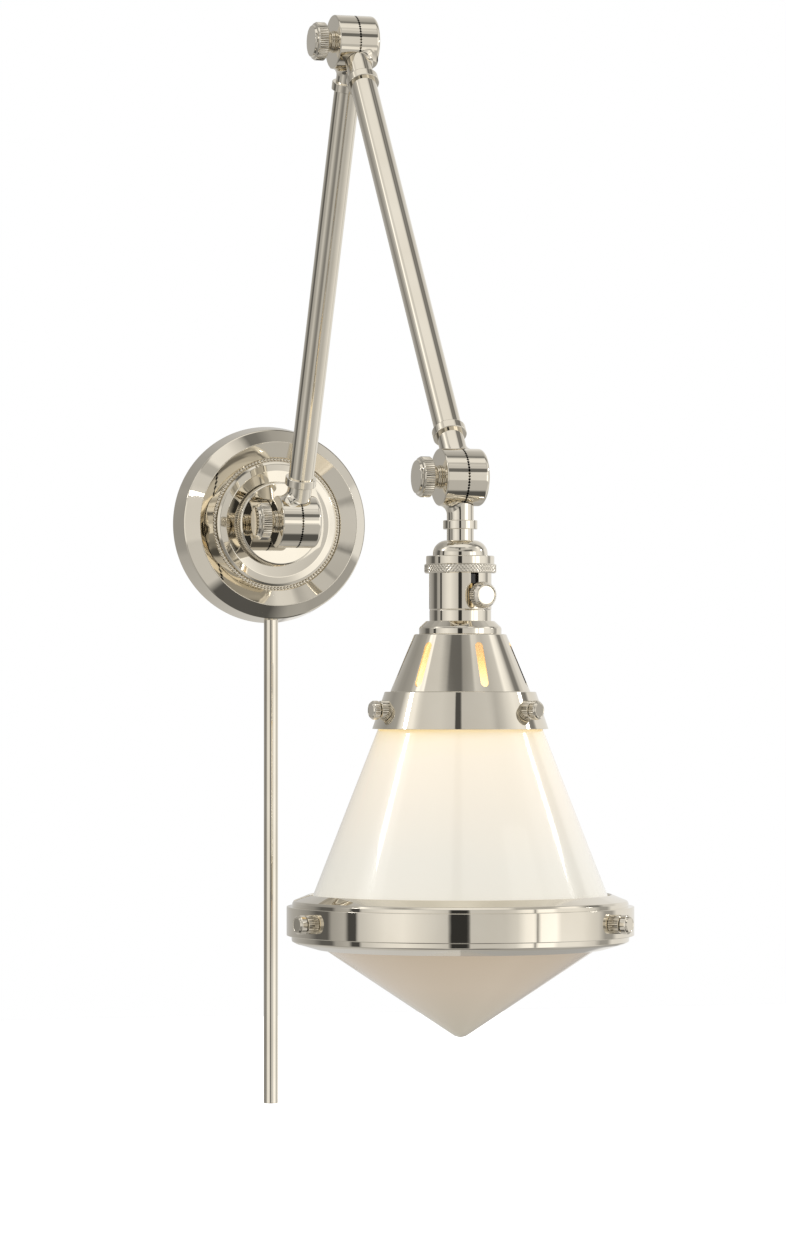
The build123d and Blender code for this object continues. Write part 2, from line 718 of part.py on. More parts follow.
def socket_shell():
    """Straight shell with a seam bead and the keyhole for the switch shaft."""
    wall = 0.8
    seam = SHELL_SEAM
    keyhole = radial_plane(SWITCH_TURN, SWITCH_DEPTH)
    with BuildPart() as shell:
        with BuildSketch(SHADE_PROFILE):
            with BuildLine():
                Polyline(
                    (SHELL_RADIUS, SHELL_TOP),
                    (SHELL_RADIUS, seam - 0.3),
                    (SHELL_RADIUS - 0.35, seam),
                    (SHELL_RADIUS - 0.2, seam + 0.3),
                    (SHELL_RADIUS - 0.2, SHELL_BOTTOM + 5),
                    (SHELL_RADIUS - wall - 0.2, SHELL_BOTTOM + 5),
                    (SHELL_RADIUS - wall - 0.2, SHELL_TOP),
                    close=True,
                )
            make_face()
        revolve(axis=SHADE_AXIS)
        with BuildSketch(keyhole):
            Circle(KEYHOLE_WIDTH / 2)
            with Locations((KEYHOLE_REACH / 2, 0)):
                Rectangle(KEYHOLE_REACH, KEYHOLE_WIDTH)
        extrude(amount=30, mode=Mode.SUBTRACT)
    save(shell, "socket_shell")


def socket_inside():
    """Insulating liner, body, threaded contact, centre contact and switch block."""
    sleeve = [
        (17.0, SHELL_TOP + 0.5),
        (17.7, SHELL_TOP + 0.5),
        (17.7, SHELL_BOTTOM + 4),
        (17.0, SHELL_BOTTOM + 4),
    ]
    turned_sleeve = lathe(SHADE_PROFILE, SHADE_AXIS, sleeve)
    with BuildPart() as liner:
        add(turned_sleeve.part)
        with BuildSketch(radial_plane(SWITCH_TURN, SWITCH_DEPTH)):
            Circle(KEYHOLE_WIDTH / 2 + 0.3)
            with Locations((KEYHOLE_REACH / 2, 0)):
                Rectangle(KEYHOLE_REACH, KEYHOLE_WIDTH + 0.6)
        extrude(amount=30, mode=Mode.SUBTRACT)
    save(liner, "socket_liner")
    body = [
        (0, BODY_TOP),
        (BODY_RADIUS - 2, BODY_TOP),
        (BODY_RADIUS - 2, BODY_TOP + 6.5),
        (BODY_RADIUS, BODY_TOP + 8.5),
        (BODY_RADIUS, BODY_END),
        (0, BODY_END),
    ]
    turned_body = lathe(SHADE_PROFILE, SHADE_AXIS, body)
    wire_end = BODY_TOP + 5.0
    with BuildPart() as block:
        add(turned_body.part)
        with BuildSketch(below_shade(BODY_TOP - 1)):
            with Locations((-WIRE_SPACING, 0), (WIRE_SPACING, 0)):
                Circle(WIRE_RADIUS)
        extrude(amount=wire_end - BODY_TOP + 1, mode=Mode.SUBTRACT)
    save(block, "socket_body")
    shade_lathe(
        "screw_shell",
        [
            (13.3, BODY_END),
            (14.3, BODY_END),
            (14.3, 88.0),
            (15.0, 89.0),
            (14.2, 89.6),
            (13.3, 88.4),
        ],
    )
    contact = [(0, BODY_END), (3.2, BODY_END), (3.2, 65.0), (2.0, 66.4), (0, 66.4)]
    shade_lathe("centre_contact", contact)
    with BuildPart() as wires:
        with BuildSketch(below_shade(BARREL_RADIUS)):
            with Locations((-WIRE_SPACING, 0), (WIRE_SPACING, 0)):
                Circle(WIRE_RADIUS)
        extrude(amount=wire_end - BARREL_RADIUS)
    save(wires, "socket_wires")


def switch():
    """Turn key: knurled knob on a shaft into the socket body, and its bushing."""
    plane = radial_plane(SWITCH_TURN, SWITCH_DEPTH)
    with BuildPart() as bushing:
        with BuildSketch(plane.offset(SWITCH_INNER)):
            Circle(4.6)
            Circle(SWITCH_SHAFT + 0.05, mode=Mode.SUBTRACT)
        extrude(amount=1.2)
    save(bushing, "switch_bushing")
    knurl_plane = plane.offset(SWITCH_KNOB_START + 0.6)
    knurl_length = SWITCH_KNOB_END - SWITCH_KNOB_START - 3.0
    knurl = ridged_disc(knurl_plane, SWITCH_RADIUS, 0.4, SWITCH_KNURLS, knurl_length)
    outward = turned(SWITCH_TURN)
    centre = SHADE + Vector(0, 0, -SWITCH_DEPTH)
    profile = Plane(origin=centre, x_dir=(0, 0, 1), z_dir=Vector(0, 0, 1).cross(outward))
    shape = [
        (0, SWITCH_INNER),
        (SWITCH_SHAFT, SWITCH_INNER),
        (SWITCH_SHAFT, SWITCH_KNOB_START),
        (SWITCH_RADIUS - 0.9, SWITCH_KNOB_START),
        (SWITCH_RADIUS - 0.4, SWITCH_KNOB_START + 0.6),
        (SWITCH_RADIUS - 0.4, SWITCH_KNOB_END - 2.4),
        (SWITCH_RADIUS - 1.2, SWITCH_KNOB_END - 0.8),
        (5.9, SWITCH_KNOB_END),
        (5.5, SWITCH_KNOB_END - 0.8),
        (0, SWITCH_KNOB_END - 0.5),
    ]
    turned_body = lathe(profile, Axis(centre, outward), shape)
    with BuildPart() as knob:
        add(turned_body.part)
        add(knurl.part)
    save(knob, "switch_knob")


# ---------------------------------------------------------------- shade


def fitter_cup():
    """Bevelled ring at the foot of the socket that holds the canopy up."""
    bore = SHELL_RADIUS - 0.15
    shade_lathe(
        "fitter_cup",
        [
            (bore, SHELL_BOTTOM),
            (20.6, SHELL_BOTTOM),
            (21.6, SHELL_BOTTOM + 0.5),
            (24.2, SHELL_BOTTOM + 3.3),
            (CUP_RADIUS, SHELL_BOTTOM + 4.4),
            (CUP_RADIUS, CANOPY_TOP),
            (bore, CANOPY_TOP),
        ],
    )


def canopy():
    """Vented metal canopy with its stepped skirt, bored for the thumbscrews."""
    with BuildPart() as shell:
        with BuildSketch(SHADE_PROFILE):
            with BuildLine():
                Polyline(
                    (16.0, CANOPY_TOP),
                    (CANOPY_TOP_RADIUS - 0.9, CANOPY_TOP),
                    (CANOPY_TOP_RADIUS, CANOPY_TOP + 1.0),
                    (CANOPY_STEP_RADIUS, CANOPY_STEP),
                    (SKIRT_TOP_RADIUS - 0.6, CANOPY_STEP),
                    (SKIRT_TOP_RADIUS, CANOPY_STEP + 0.6),
                    (SKIRT_BOTTOM_RADIUS, SKIRT_BOTTOM),
                    (SKIRT_BOTTOM_RADIUS - SHEET, SKIRT_BOTTOM),
                    (SKIRT_TOP_RADIUS - SHEET, CANOPY_STEP + SHEET + 0.2),
                    (CANOPY_STEP_RADIUS - SHEET - 0.2, CANOPY_STEP + SHEET),
                    (CANOPY_TOP_RADIUS - SHEET - 0.2, CANOPY_TOP + 1.0 + SHEET),
                    (16.0, CANOPY_TOP + SHEET),
                    close=True,
                )
            make_face()
        revolve(axis=SHADE_AXIS)
        for vent in range(VENT_COUNT):
            turn = VENT_TURN + 360 * vent / VENT_COUNT
            middle = (VENT_TOP + VENT_BOTTOM) / 2
            with BuildSketch(radial_plane(turn, middle, 15)):
                SlotOverall(VENT_BOTTOM - VENT_TOP, VENT_WIDTH)
            extrude(amount=40, mode=Mode.SUBTRACT)
        for turn in SCREW_TURNS_CANOPY:
            with BuildSketch(radial_plane(turn, CANOPY_SCREW_DROP, 40)):
                Circle(1.75)
            extrude(amount=20, mode=Mode.SUBTRACT)
    save(shell, "canopy")


def thumbscrew(name, turn, drop, tip, seat):
    """Knurled thumbscrew through a wall, turning about its own radial axis."""
    plane = radial_plane(turn, drop)
    outward = turned(turn)
    centre = SHADE + Vector(0, 0, -drop)
    profile = Plane(origin=centre, x_dir=(0, 0, 1), z_dir=Vector(0, 0, 1).cross(outward))
    head = seat + NUT_LENGTH + THUMB_GAP
    end = head + THUMB_LENGTH
    shape = [
        (0, tip),
        (THUMB_SHANK - 0.5, tip),
        (THUMB_SHANK, tip + 0.5),
        (THUMB_SHANK, head),
        (THUMB_RADIUS - 0.8, head),
        (THUMB_RADIUS - 0.35, head + 0.4),
        (THUMB_RADIUS - 0.35, end - 1.2),
        (THUMB_RADIUS - 1.0, end - 0.3),
        (THUMB_RADIUS - 1.4, end),
        (THUMB_RADIUS - 1.8, end - 0.3),
        (0, end - 0.3),
    ]
    knurl_length = THUMB_LENGTH - 1.6
    knurl = ridged_disc(plane.offset(head + 0.4), THUMB_RADIUS, 0.35, THUMB_KNURLS, knurl_length)
    turned_body = lathe(profile, Axis(centre, outward), shape)
    with BuildPart() as screw:
        add(turned_body.part)
        add(knurl.part)
    save(screw, name)


def thumb_nuts(name, turns, drop, seat, start, wall):
    """Knurled nuts under the thumbscrew heads, shaped to the wall they stand on."""
    planes = [radial_plane(turn, drop, start) for turn in turns]
    length = seat + NUT_LENGTH - start
    blanks = [ridged_disc(plane, THUMB_RADIUS - 0.1, 0.35, THUMB_KNURLS, length) for plane in planes]
    inside = lathe(SHADE_PROFILE, SHADE_AXIS, wall)
    with BuildPart() as nuts:
        for plane, blank in zip(planes, blanks):
            add(blank.part)
            with BuildSketch(plane.offset(-1)):
                Circle(THUMB_SHANK + 0.08)
            extrude(amount=length + 2, mode=Mode.SUBTRACT)
        add(inside.part, mode=Mode.SUBTRACT)
    save(nuts, name)


def glass_radius(drop):
    """Outer radius of the upper glass cone at a drop."""
    return GLASS_REF_RADIUS + GLASS_SLOPE * (drop - GLASS_REF_DEPTH)


def upper_glass():
    """Opal cone: straight neck in the canopy, flared body and an outward flange."""
    flange_end = GLASS_BOTTOM + FLANGE_THICK
    neck_in = NECK_GLASS_RADIUS - GLASS_WALL
    shoulder = glass_radius(GLASS_SHOULDER + 2)
    base = glass_radius(GLASS_BOTTOM)
    inner_base = glass_radius(flange_end) - GLASS_WALL - 1.2
    shade_lathe(
        "upper_glass",
        [
            (neck_in, GLASS_TOP),
            (NECK_GLASS_RADIUS, GLASS_TOP),
            (NECK_GLASS_RADIUS, GLASS_SHOULDER - 3),
            (shoulder, GLASS_SHOULDER + 2),
            (base, GLASS_BOTTOM),
            (FLANGE_RADIUS, GLASS_BOTTOM + 3.6),
            (FLANGE_RADIUS, flange_end),
            (inner_base, flange_end),
            (shoulder - GLASS_WALL - 0.6, GLASS_SHOULDER + 2),
            (neck_in, GLASS_SHOULDER - 3),
        ],
    )


def ring_band():
    """Metal band of the shade with the upper lip that bears on the glass flange."""
    thick = 1.2
    with BuildPart() as band:
        with BuildSketch(SHADE_PROFILE):
            with BuildLine():
                Polyline(
                    (glass_radius(LIP_TOP) + 1.0, LIP_TOP + 0.7),
                    (glass_radius(LIP_TOP) + 1.6, LIP_TOP),
                    (100.3, LIP_TOP + 4.0),
                    (101.0, LIP_TOP + 5.0),
                    (101.0, BAND_START),
                    (RING_RADIUS - 0.5, BAND_START),
                    (RING_RADIUS, BAND_START + 0.5),
                    (RING_RADIUS, BAND_END - 0.4),
                    (RING_RADIUS - 0.4, BAND_END),
                    (RING_RADIUS - thick, BAND_END),
                    (RING_RADIUS - thick, BAND_START + thick),
                    (101.0 - thick, BAND_START + thick),
                    (101.0 - thick, LIP_TOP + 5.4),
                    (99.6, LIP_TOP + 5.2),
                    (glass_radius(LIP_TOP) + 1.2, LIP_TOP + 1.8),
                    close=True,
                )
            make_face()
        revolve(axis=SHADE_AXIS)
        for turn in SCREW_TURNS_RING:
            with BuildSketch(radial_plane(turn, RING_SCREW_DROP, 90)):
                Circle(1.75)
            extrude(amount=20, mode=Mode.SUBTRACT)
    save(band, "ring_band")


def ring_base():
    """Lower half of the ring: sleeve inside the band and the lip under the bowl."""
    sleeve = RING_RADIUS - 1.2 - 0.1
    shade_lathe(
        "ring_base",
        [
            (sleeve, SLEEVE_TOP),
            (sleeve, BAND_END),
            (LOWER_LIP_RADIUS + 0.4, BAND_END),
            (LOWER_LIP_RADIUS, BAND_END + 0.6),
            (LOWER_LIP_RADIUS, 278.4),
            (99.6, 279.4),
            (LOWER_LIP_BORE + 0.6, LOWER_LIP_END),
            (LOWER_LIP_BORE, LOWER_LIP_END - 0.4),
            (LOWER_LIP_BORE + 0.2, LOWER_LIP_END - 1.2),
            (98.8, 278.3),
            (99.9, 277.4),
            (99.9, 273.8),
            (sleeve - 1.4, 272.6),
            (sleeve - 1.4, SLEEVE_TOP),
        ],
    )


def lower_bowl():
    """Opal cone that closes the shade, resting by its flange on the lower lip."""
    wall = GLASS_WALL

    def outer(drop):
        return BOWL_REF_RADIUS + BOWL_SLOPE * (BOWL_REF_DEPTH - drop)

    with BuildPart() as bowl:
        with BuildSketch(SHADE_PROFILE):
            with BuildLine():
                tip = (0, BOWL_TIP)
                shoulder = (BOWL_REF_RADIUS, BOWL_REF_DEPTH)
                ThreePointArc(tip, (BOWL_REF_RADIUS * 0.52, BOWL_TIP - 0.95), shoulder)
                Polyline(
                    shoulder,
                    (outer(282.4), 282.4),
                    (LOWER_LIP_BORE - 1.6, 281.2),
                    (98.0, 277.4),
                    (99.0, 276.4),
                    (99.0, 272.9),
                    (96.0, 272.2),
                    (outer(282.4) - 1.0, 276.4),
                    (4.0, BOWL_REF_DEPTH - wall + 1.0),
                    (0, BOWL_TIP - wall),
                    tip,
                )
            make_face()
        revolve(axis=SHADE_AXIS)
    save(bowl, "lower_bowl")


def gasket():
    """Soft ring on the sleeve's top edge, under the upper glass flange."""
    top = GLASS_BOTTOM + FLANGE_THICK + 0.1
    outer = RING_RADIUS - 1.4
    shade_lathe(
        "gasket",
        [(95.5, top), (outer, top), (outer, SLEEVE_TOP), (95.5, SLEEVE_TOP)],
    )


def bulb():
    """Lamp bulb: glass envelope, screw base and contact."""
    neck = 13.0
    with BuildPart() as envelope:
        with BuildSketch(SHADE_PROFILE):
            with BuildLine():
                Polyline((0, 90.5), (neck, 90.5), (neck + 1.0, 96.0))
                Spline(
                    (neck + 1.0, 96.0),
                    (20.0, 112.0),
                    (BULB_RADIUS, 139.0),
                    (20.5, 161.0),
                    (0, 169.0),
                    tangents=((0.1, 1.0), (-1.0, 0.0)),
                )
                Polyline((0, 169.0), (0, 90.5))
            make_face()
        revolve(axis=SHADE_AXIS)
    save(envelope, "bulb_glass")
    shade_lathe(
        "bulb_base",
        [
            (0, 66.6),
            (4.0, 66.6),
            (9.0, 69.6),
            (12.9, 71.0),
            (12.9, 88.0),
            (neck, 90.5),
            (0, 90.5),
        ],
    )


def shade():
    """Everything the shade hinge carries below the socket."""
    fitter_cup()
    canopy()
    upper_glass()
    ring_band()
    ring_base()
    lower_bowl()
    gasket()
    bulb()
    slope = (SKIRT_BOTTOM_RADIUS - SKIRT_TOP_RADIUS) / (SKIRT_BOTTOM - CANOPY_STEP - 0.6)
    skirt = SKIRT_TOP_RADIUS + slope * (CANOPY_SCREW_DROP - CANOPY_STEP - 0.6)
    for number, turn in enumerate(SCREW_TURNS_CANOPY, 1):
        tip = NECK_GLASS_RADIUS + 0.05
        thumbscrew(f"canopy_screw_{number}", turn, CANOPY_SCREW_DROP, tip, skirt)
    cone = [
        (0, CANOPY_STEP + 0.6),
        (SKIRT_TOP_RADIUS, CANOPY_STEP + 0.6),
        (SKIRT_BOTTOM_RADIUS, SKIRT_BOTTOM),
        (0, SKIRT_BOTTOM),
    ]
    thumb_nuts("canopy_nuts", SCREW_TURNS_CANOPY, CANOPY_SCREW_DROP, skirt, skirt - 4, cone)
    for number, turn in enumerate(SCREW_TURNS_RING, 1):
        tip = RING_RADIUS - 1.3 + 0.05
        thumbscrew(f"ring_screw_{number}", turn, RING_SCREW_DROP, tip, RING_RADIUS)
    band = [(0, BAND_START), (RING_RADIUS, BAND_START), (RING_RADIUS, BAND_END), (0, BAND_END)]
    thumb_nuts("ring_nuts", SCREW_TURNS_RING, RING_SCREW_DROP, RING_RADIUS, RING_RADIUS - 1, band)


hinge_halves()
clamp_knob("wall_knob", SHOULDER)
clamp_knob("elbow_knob", ELBOW)
clamp_knob("shade_knob", SHADE)
arm("lower_arm", SHOULDER, LOWER_UP, LOWER_LENGTH, LOWER_COLLAR_AT)
arm("forearm", ELBOW, FORE_DOWN, FORE_LENGTH, FORE_COLLAR_AT)
backplate()
boss()
bead_ring()
wall_fixings()
swivel_stem()
cord_cover()
stem_collar()
socket_cap()
knurled_ring()
socket_shell()
socket_inside()
switch()
shade()
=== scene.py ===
import json
import math

import bmesh
import bpy
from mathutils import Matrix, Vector


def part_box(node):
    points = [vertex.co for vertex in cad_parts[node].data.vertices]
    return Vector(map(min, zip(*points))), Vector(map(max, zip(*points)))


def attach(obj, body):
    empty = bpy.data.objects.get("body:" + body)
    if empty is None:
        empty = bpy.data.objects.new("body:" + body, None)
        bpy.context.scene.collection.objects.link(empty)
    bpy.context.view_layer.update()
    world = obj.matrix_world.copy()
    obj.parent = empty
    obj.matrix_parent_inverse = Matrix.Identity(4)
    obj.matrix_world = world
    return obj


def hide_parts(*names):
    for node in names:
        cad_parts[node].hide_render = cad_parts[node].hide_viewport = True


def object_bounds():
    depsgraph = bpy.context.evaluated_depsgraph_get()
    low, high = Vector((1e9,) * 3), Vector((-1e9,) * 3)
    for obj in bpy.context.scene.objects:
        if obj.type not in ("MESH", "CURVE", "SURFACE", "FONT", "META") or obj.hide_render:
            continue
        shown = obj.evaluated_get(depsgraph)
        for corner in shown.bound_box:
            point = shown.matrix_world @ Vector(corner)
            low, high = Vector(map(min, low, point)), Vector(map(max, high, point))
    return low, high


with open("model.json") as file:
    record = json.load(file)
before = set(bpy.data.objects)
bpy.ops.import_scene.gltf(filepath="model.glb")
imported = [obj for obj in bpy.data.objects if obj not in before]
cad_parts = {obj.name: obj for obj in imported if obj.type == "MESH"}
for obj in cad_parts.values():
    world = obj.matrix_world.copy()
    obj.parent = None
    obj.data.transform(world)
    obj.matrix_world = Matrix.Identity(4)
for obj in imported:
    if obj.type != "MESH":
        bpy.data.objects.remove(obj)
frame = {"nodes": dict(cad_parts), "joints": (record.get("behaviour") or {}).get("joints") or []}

cad_low, cad_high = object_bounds()

MM = 0.001
JOINTS = {joint["name"]: joint for joint in frame["joints"]}
SHOULDER = Vector(JOINTS["wall_pitch"]["pos_m"])
ELBOW = Vector(JOINTS["elbow_pitch"]["pos_m"])
SHADE = Vector(JOINTS["shade_tilt"]["pos_m"])
LOWER_UP = (ELBOW - SHOULDER).normalized()
FORE_DOWN = (SHADE - ELBOW).normalized()
ACROSS = Vector((1, 0, 0))
OUT = Vector((0, -1, 0))
DOWN = Vector((0, 0, -1))
WALL = Vector((0, 0, 0))

# Hinges and arms, in millimetres
BARREL_RADIUS = 17.3
HALF_LENGTH = 13.6
SEAM_CLEAR = 0.14  # each half's rim stops this far from the seam plane
TOOTH_COUNT = 60
TOOTH_DEPTH = 0.75
RIM_INNER = 13.6  # inside of the toothed rim
SCREW_HOLE = 3.05
BLIND_END = 9.0  # bottom of the screw's hole in a far half
SADDLE_CLEAR = 0.35  # neck over the other half's barrel
NECK_RADIUS = 8.1
NECK_BORE = 4.4
FLARE_REACH = 5.2  # blend between a neck and its own half
FOOT_BLEND = 0.15  # the same over the other half
TUBE_RADIUS = 8.4
TUBE_WALL = 1.4
COLLAR_RADIUS = 10.3
COLLAR_LENGTH = 5.4
COLLAR_ROUND = 0.45
LOWER_COLLAR_AT = 26.2  # from a hinge axis to the start of a collar
FORE_COLLAR_AT = 31.7
STEM_COLLAR_AT = 25.9
SCREW_RADIUS = 2.95
WASHER_RADIUS = 7.2
WASHER_BORE = 3.2
WASHER_THICK = 2.4
KNOB_NECK_LENGTH = 3.0
KNOB_LENGTH = 9.2
KNOB_RADIUS = 12.25
KNOB_RIBS = 60
KNOB_RIB_DEPTH = 0.5
SMALL_RIB_DEPTH = 0.45  # turn key, thumbscrews and nuts

# Wall side, in millimetres from the wall or from the plate's centre
PLATE_FLOOR = 24.0
PLATE_WALL = 1.2
GROOVE_FLOOR = 20.8  # bottom of the groove that holds the beads
BEAD_COUNT = 118
BEAD_CIRCLE = 43.45
BEAD_RADIUS = 1.1
BEAD_DEPTH = 21.6  # middle of a bead
BOSS_RADIUS = 28.2
BOSS_FRONT = 31.0
BOSS_RIBS = 150
BUSH_RADIUS = 8.5
BUSH_BORE = 6.05
COVER_RADIUS = 4.8
COVER_BORE = 4.1

# Shade, in millimetres from its axis or down from its hinge
CAP_RADIUS = 16.5
CAP_ROUND = 8.3
BAND_TOP = 47.3
BAND_RADIUS = 20.5
SLEEVE_BORE = 16.7
KNURL_TOP = 52.1
KNURL_RADIUS = 21.75
SHELL_TOP = 57.8
SHELL_RADIUS = 18.75
SHELL_BORE = 17.75
SHELL_SEAM = 79.8
SHELL_END = 91.5
KEYHOLE_WIDTH = 5.3
KEYHOLE_LENGTH = 21.0
KEYHOLE_RISE = 8  # from the key's axis up to the slot's middle
CUP_TOP = 86.5
CUP_RADIUS = 24.8
CANOPY_TOP = 94.4
CANOPY_STEP = 128.9
CANOPY_STEP_RADIUS = 42.1
SKIRT_BOTTOM = 151.3
SKIRT_RADIUS = 53.0
SCREWED_RADIUS = 49.2  # the skirt where its thumbscrews go through
VENT_COUNT = 6
VENT_MIDDLE = 112.7
VENT_LENGTH = 26.6
VENT_WIDTH = 5.0
VENT_TURN = 2.5  # degrees
GLASS_TOP = 131.0
GLASS_NECK_RADIUS = 44.0
FLANGE_RADIUS = 99.0
FLANGE_BOTTOM = 258.8
RING_RADIUS = 104.4
RING_TOP = 257.7
RING_BOTTOM = 275.1
BOWL_TIP = 336.6
GLASS_WALL = 4.6  # at the bowl's tip

ROUND_STEPS = 6  # faces across a rounded corner
GUARD = 0.12  # a ring this close to each rounded corner keeps flat faces flat
GROOVE_SHARE = 0.75  # of a knurl's depth, below which it takes painted shade for the deep grooves
SHARP = 32.0  # degrees between faces, from which an edge stays sharp


# ------------------------------------------------------------ materials


class Nodes:
    """Node tree of one material, with short helpers for adding and linking nodes."""

    def __init__(self, name):
        self.material = bpy.data.materials.new(name)
        self.material.use_nodes = True
        self.tree = self.material.node_tree
        self.shader = self.tree.nodes["Principled BSDF"]
        self.place = self.add("ShaderNodeTexCoord").outputs["Object"]

    def add(self, kind, **settings):
        node = self.tree.nodes.new(kind)
        for key, value in settings.items():
            setattr(node, key, value)
        return node

    def link(self, start, end):
        self.tree.links.new(start, end)

    def set(self, **values):
        for key, value in values.items():
            self.shader.inputs[key.replace("_", " ")].default_value = value

    def noise(self, scale, detail=4.0, roughness=0.5, stretch=None):
        node = self.add("ShaderNodeTexNoise")
        node.inputs["Scale"].default_value = scale
        node.inputs["Detail"].default_value = detail
        node.inputs["Roughness"].default_value = roughness
        source = self.place
        if stretch:
            mapping = self.add("ShaderNodeMapping")
            mapping.inputs["Scale"].default_value = stretch
            self.link(source, mapping.inputs["Vector"])
            source = mapping.outputs["Vector"]
        self.link(source, node.inputs["Vector"])
        return node.outputs["Fac"]

    def ramp(self, source, stops):
        node = self.add("ShaderNodeValToRGB")
        elements = node.color_ramp.elements
        while len(elements) < len(stops):
            elements.new(0.5)
        for element, (position, colour) in zip(elements, stops):
            element.position = position
            element.color = (*colour, 1.0)
        self.link(source, node.inputs["Fac"])
        return node.outputs["Color"]

    def spread(self, source, low, high):
        """Maps a 0.3 to 0.7 noise value to the range low to high."""
        node = self.add("ShaderNodeMapRange")
        node.inputs["From Min"].default_value = 0.3
        node.inputs["From Max"].default_value = 0.7
        node.inputs["To Min"].default_value = low
        node.inputs["To Max"].default_value = high
        self.link(source, node.inputs["Value"])
        return node.outputs["Result"]

    def height(self, low, high):
        """Share of the way up the object, from low to high."""
        split = self.add("ShaderNodeSeparateXYZ")
        self.link(self.place, split.inputs["Vector"])
        share = self.add("ShaderNodeMapRange")
        share.inputs["From Min"].default_value = low
        share.inputs["From Max"].default_value = high
        self.link(split.outputs["Z"], share.inputs["Value"])
        return share.outputs["Result"]

    def bump(self, source, strength, distance):
        node = self.add("ShaderNodeBump")
        node.inputs["Strength"].default_value = strength
        node.inputs["Distance"].default_value = distance
        self.link(source, node.inputs["Height"])
        self.link(node.outputs["Normal"], self.shader.inputs["Normal"])


def nickel(name, darker, lighter, smooth, rough, wave):
    """Polished nickel plate: warm tone, faint haze and fine polishing waviness."""
    m = Nodes(name)
    m.set(Metallic=1.0)
    tone = m.noise(22.0, 3.0)
    m.link(m.ramp(tone, [(0.3, darker), (0.7, lighter)]), m.shader.inputs["Base Color"])
    haze = m.noise(90.0, 6.0, 0.65)
    m.link(m.spread(haze, smooth, rough), m.shader.inputs["Roughness"])
    m.bump(m.noise(160.0, 2.0, 0.4), wave, 0.0004)
    return m.material


def bottom_and_top(node):
    low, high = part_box(node)
    return low.z, high.z


def opal(name, node, glow, glow_stops, tint_and_light_stops):
    """Cased opal glass: glossy skin over a white body that carries the bulb's glow.

    The stops of glow and tint run up the glass, from the bottom of its node to the top. The glow is painted
    light from the bulb inside, and the tint holds painted warmth and shade on top of the glass's own
    colour.
    """
    m = Nodes(name)
    m.set(Metallic=0.0, IOR=1.5, Coat_Weight=1.0, Coat_Roughness=0.02)
    moved = m.add("ShaderNodeMath", operation="ADD")
    m.link(m.height(*bottom_and_top(node)), moved.inputs[0])
    m.link(m.spread(m.noise(14.0, 3.0), -0.03, 0.03), moved.inputs[1])
    m.link(m.ramp(moved.outputs["Value"], glow_stops), m.shader.inputs["Emission Color"])
    m.link(m.ramp(moved.outputs["Value"], tint_and_light_stops), m.shader.inputs["Base Color"])
    m.shader.inputs["Emission Strength"].default_value = glow
    m.link(m.spread(m.noise(60.0, 4.0), 0.10, 0.18), m.shader.inputs["Roughness"])
    m.bump(m.noise(11.0, 2.0, 0.45, (1.0, 1.0, 0.35)), 0.10, 0.004)
    return m.material


def plain(name, colour, darker, metallic, rough, grain, bump=0.15):
    """Everyday surface with a fine grain, slight mottling and uneven roughness."""
    m = Nodes(name)
    m.set(Metallic=metallic)
    m.link(m.ramp(m.noise(grain), [(0.3, darker), (0.7, colour)]), m.shader.inputs["Base Color"])
    m.link(m.spread(m.noise(grain * 2.5), rough * 0.8, rough * 1.2), m.shader.inputs["Roughness"])
    m.bump(m.noise(grain * 4.0), bump, 0.0002)
    return m.material


def bulb_glow():
    """Frosted envelope lit from inside, hottest round the middle of the globe."""
    m = Nodes("bulb_frosted_glow")
    stops = [
        (0.0, (1.0, 0.84, 0.60)),
        (0.52, (1.0, 0.80, 0.50)),
        (0.64, (1.0, 0.66, 0.30)),
        (0.74, (0.90, 0.46, 0.15)),
        (0.84, (0.42, 0.24, 0.11)),
    ]
    height = m.height(*bottom_and_top("bulb_glass"))
    m.link(m.ramp(height, stops), m.shader.inputs["Emission Color"])
    m.shader.inputs["Emission Strength"].default_value = 0.95
    m.set(Roughness=0.4)
    m.link(m.ramp(m.noise(200.0), [(0.3, (0.9, 0.88, 0.84)), (0.7, (0.97, 0.96, 0.93))]),
           m.shader.inputs["Base Color"])
    return m.material


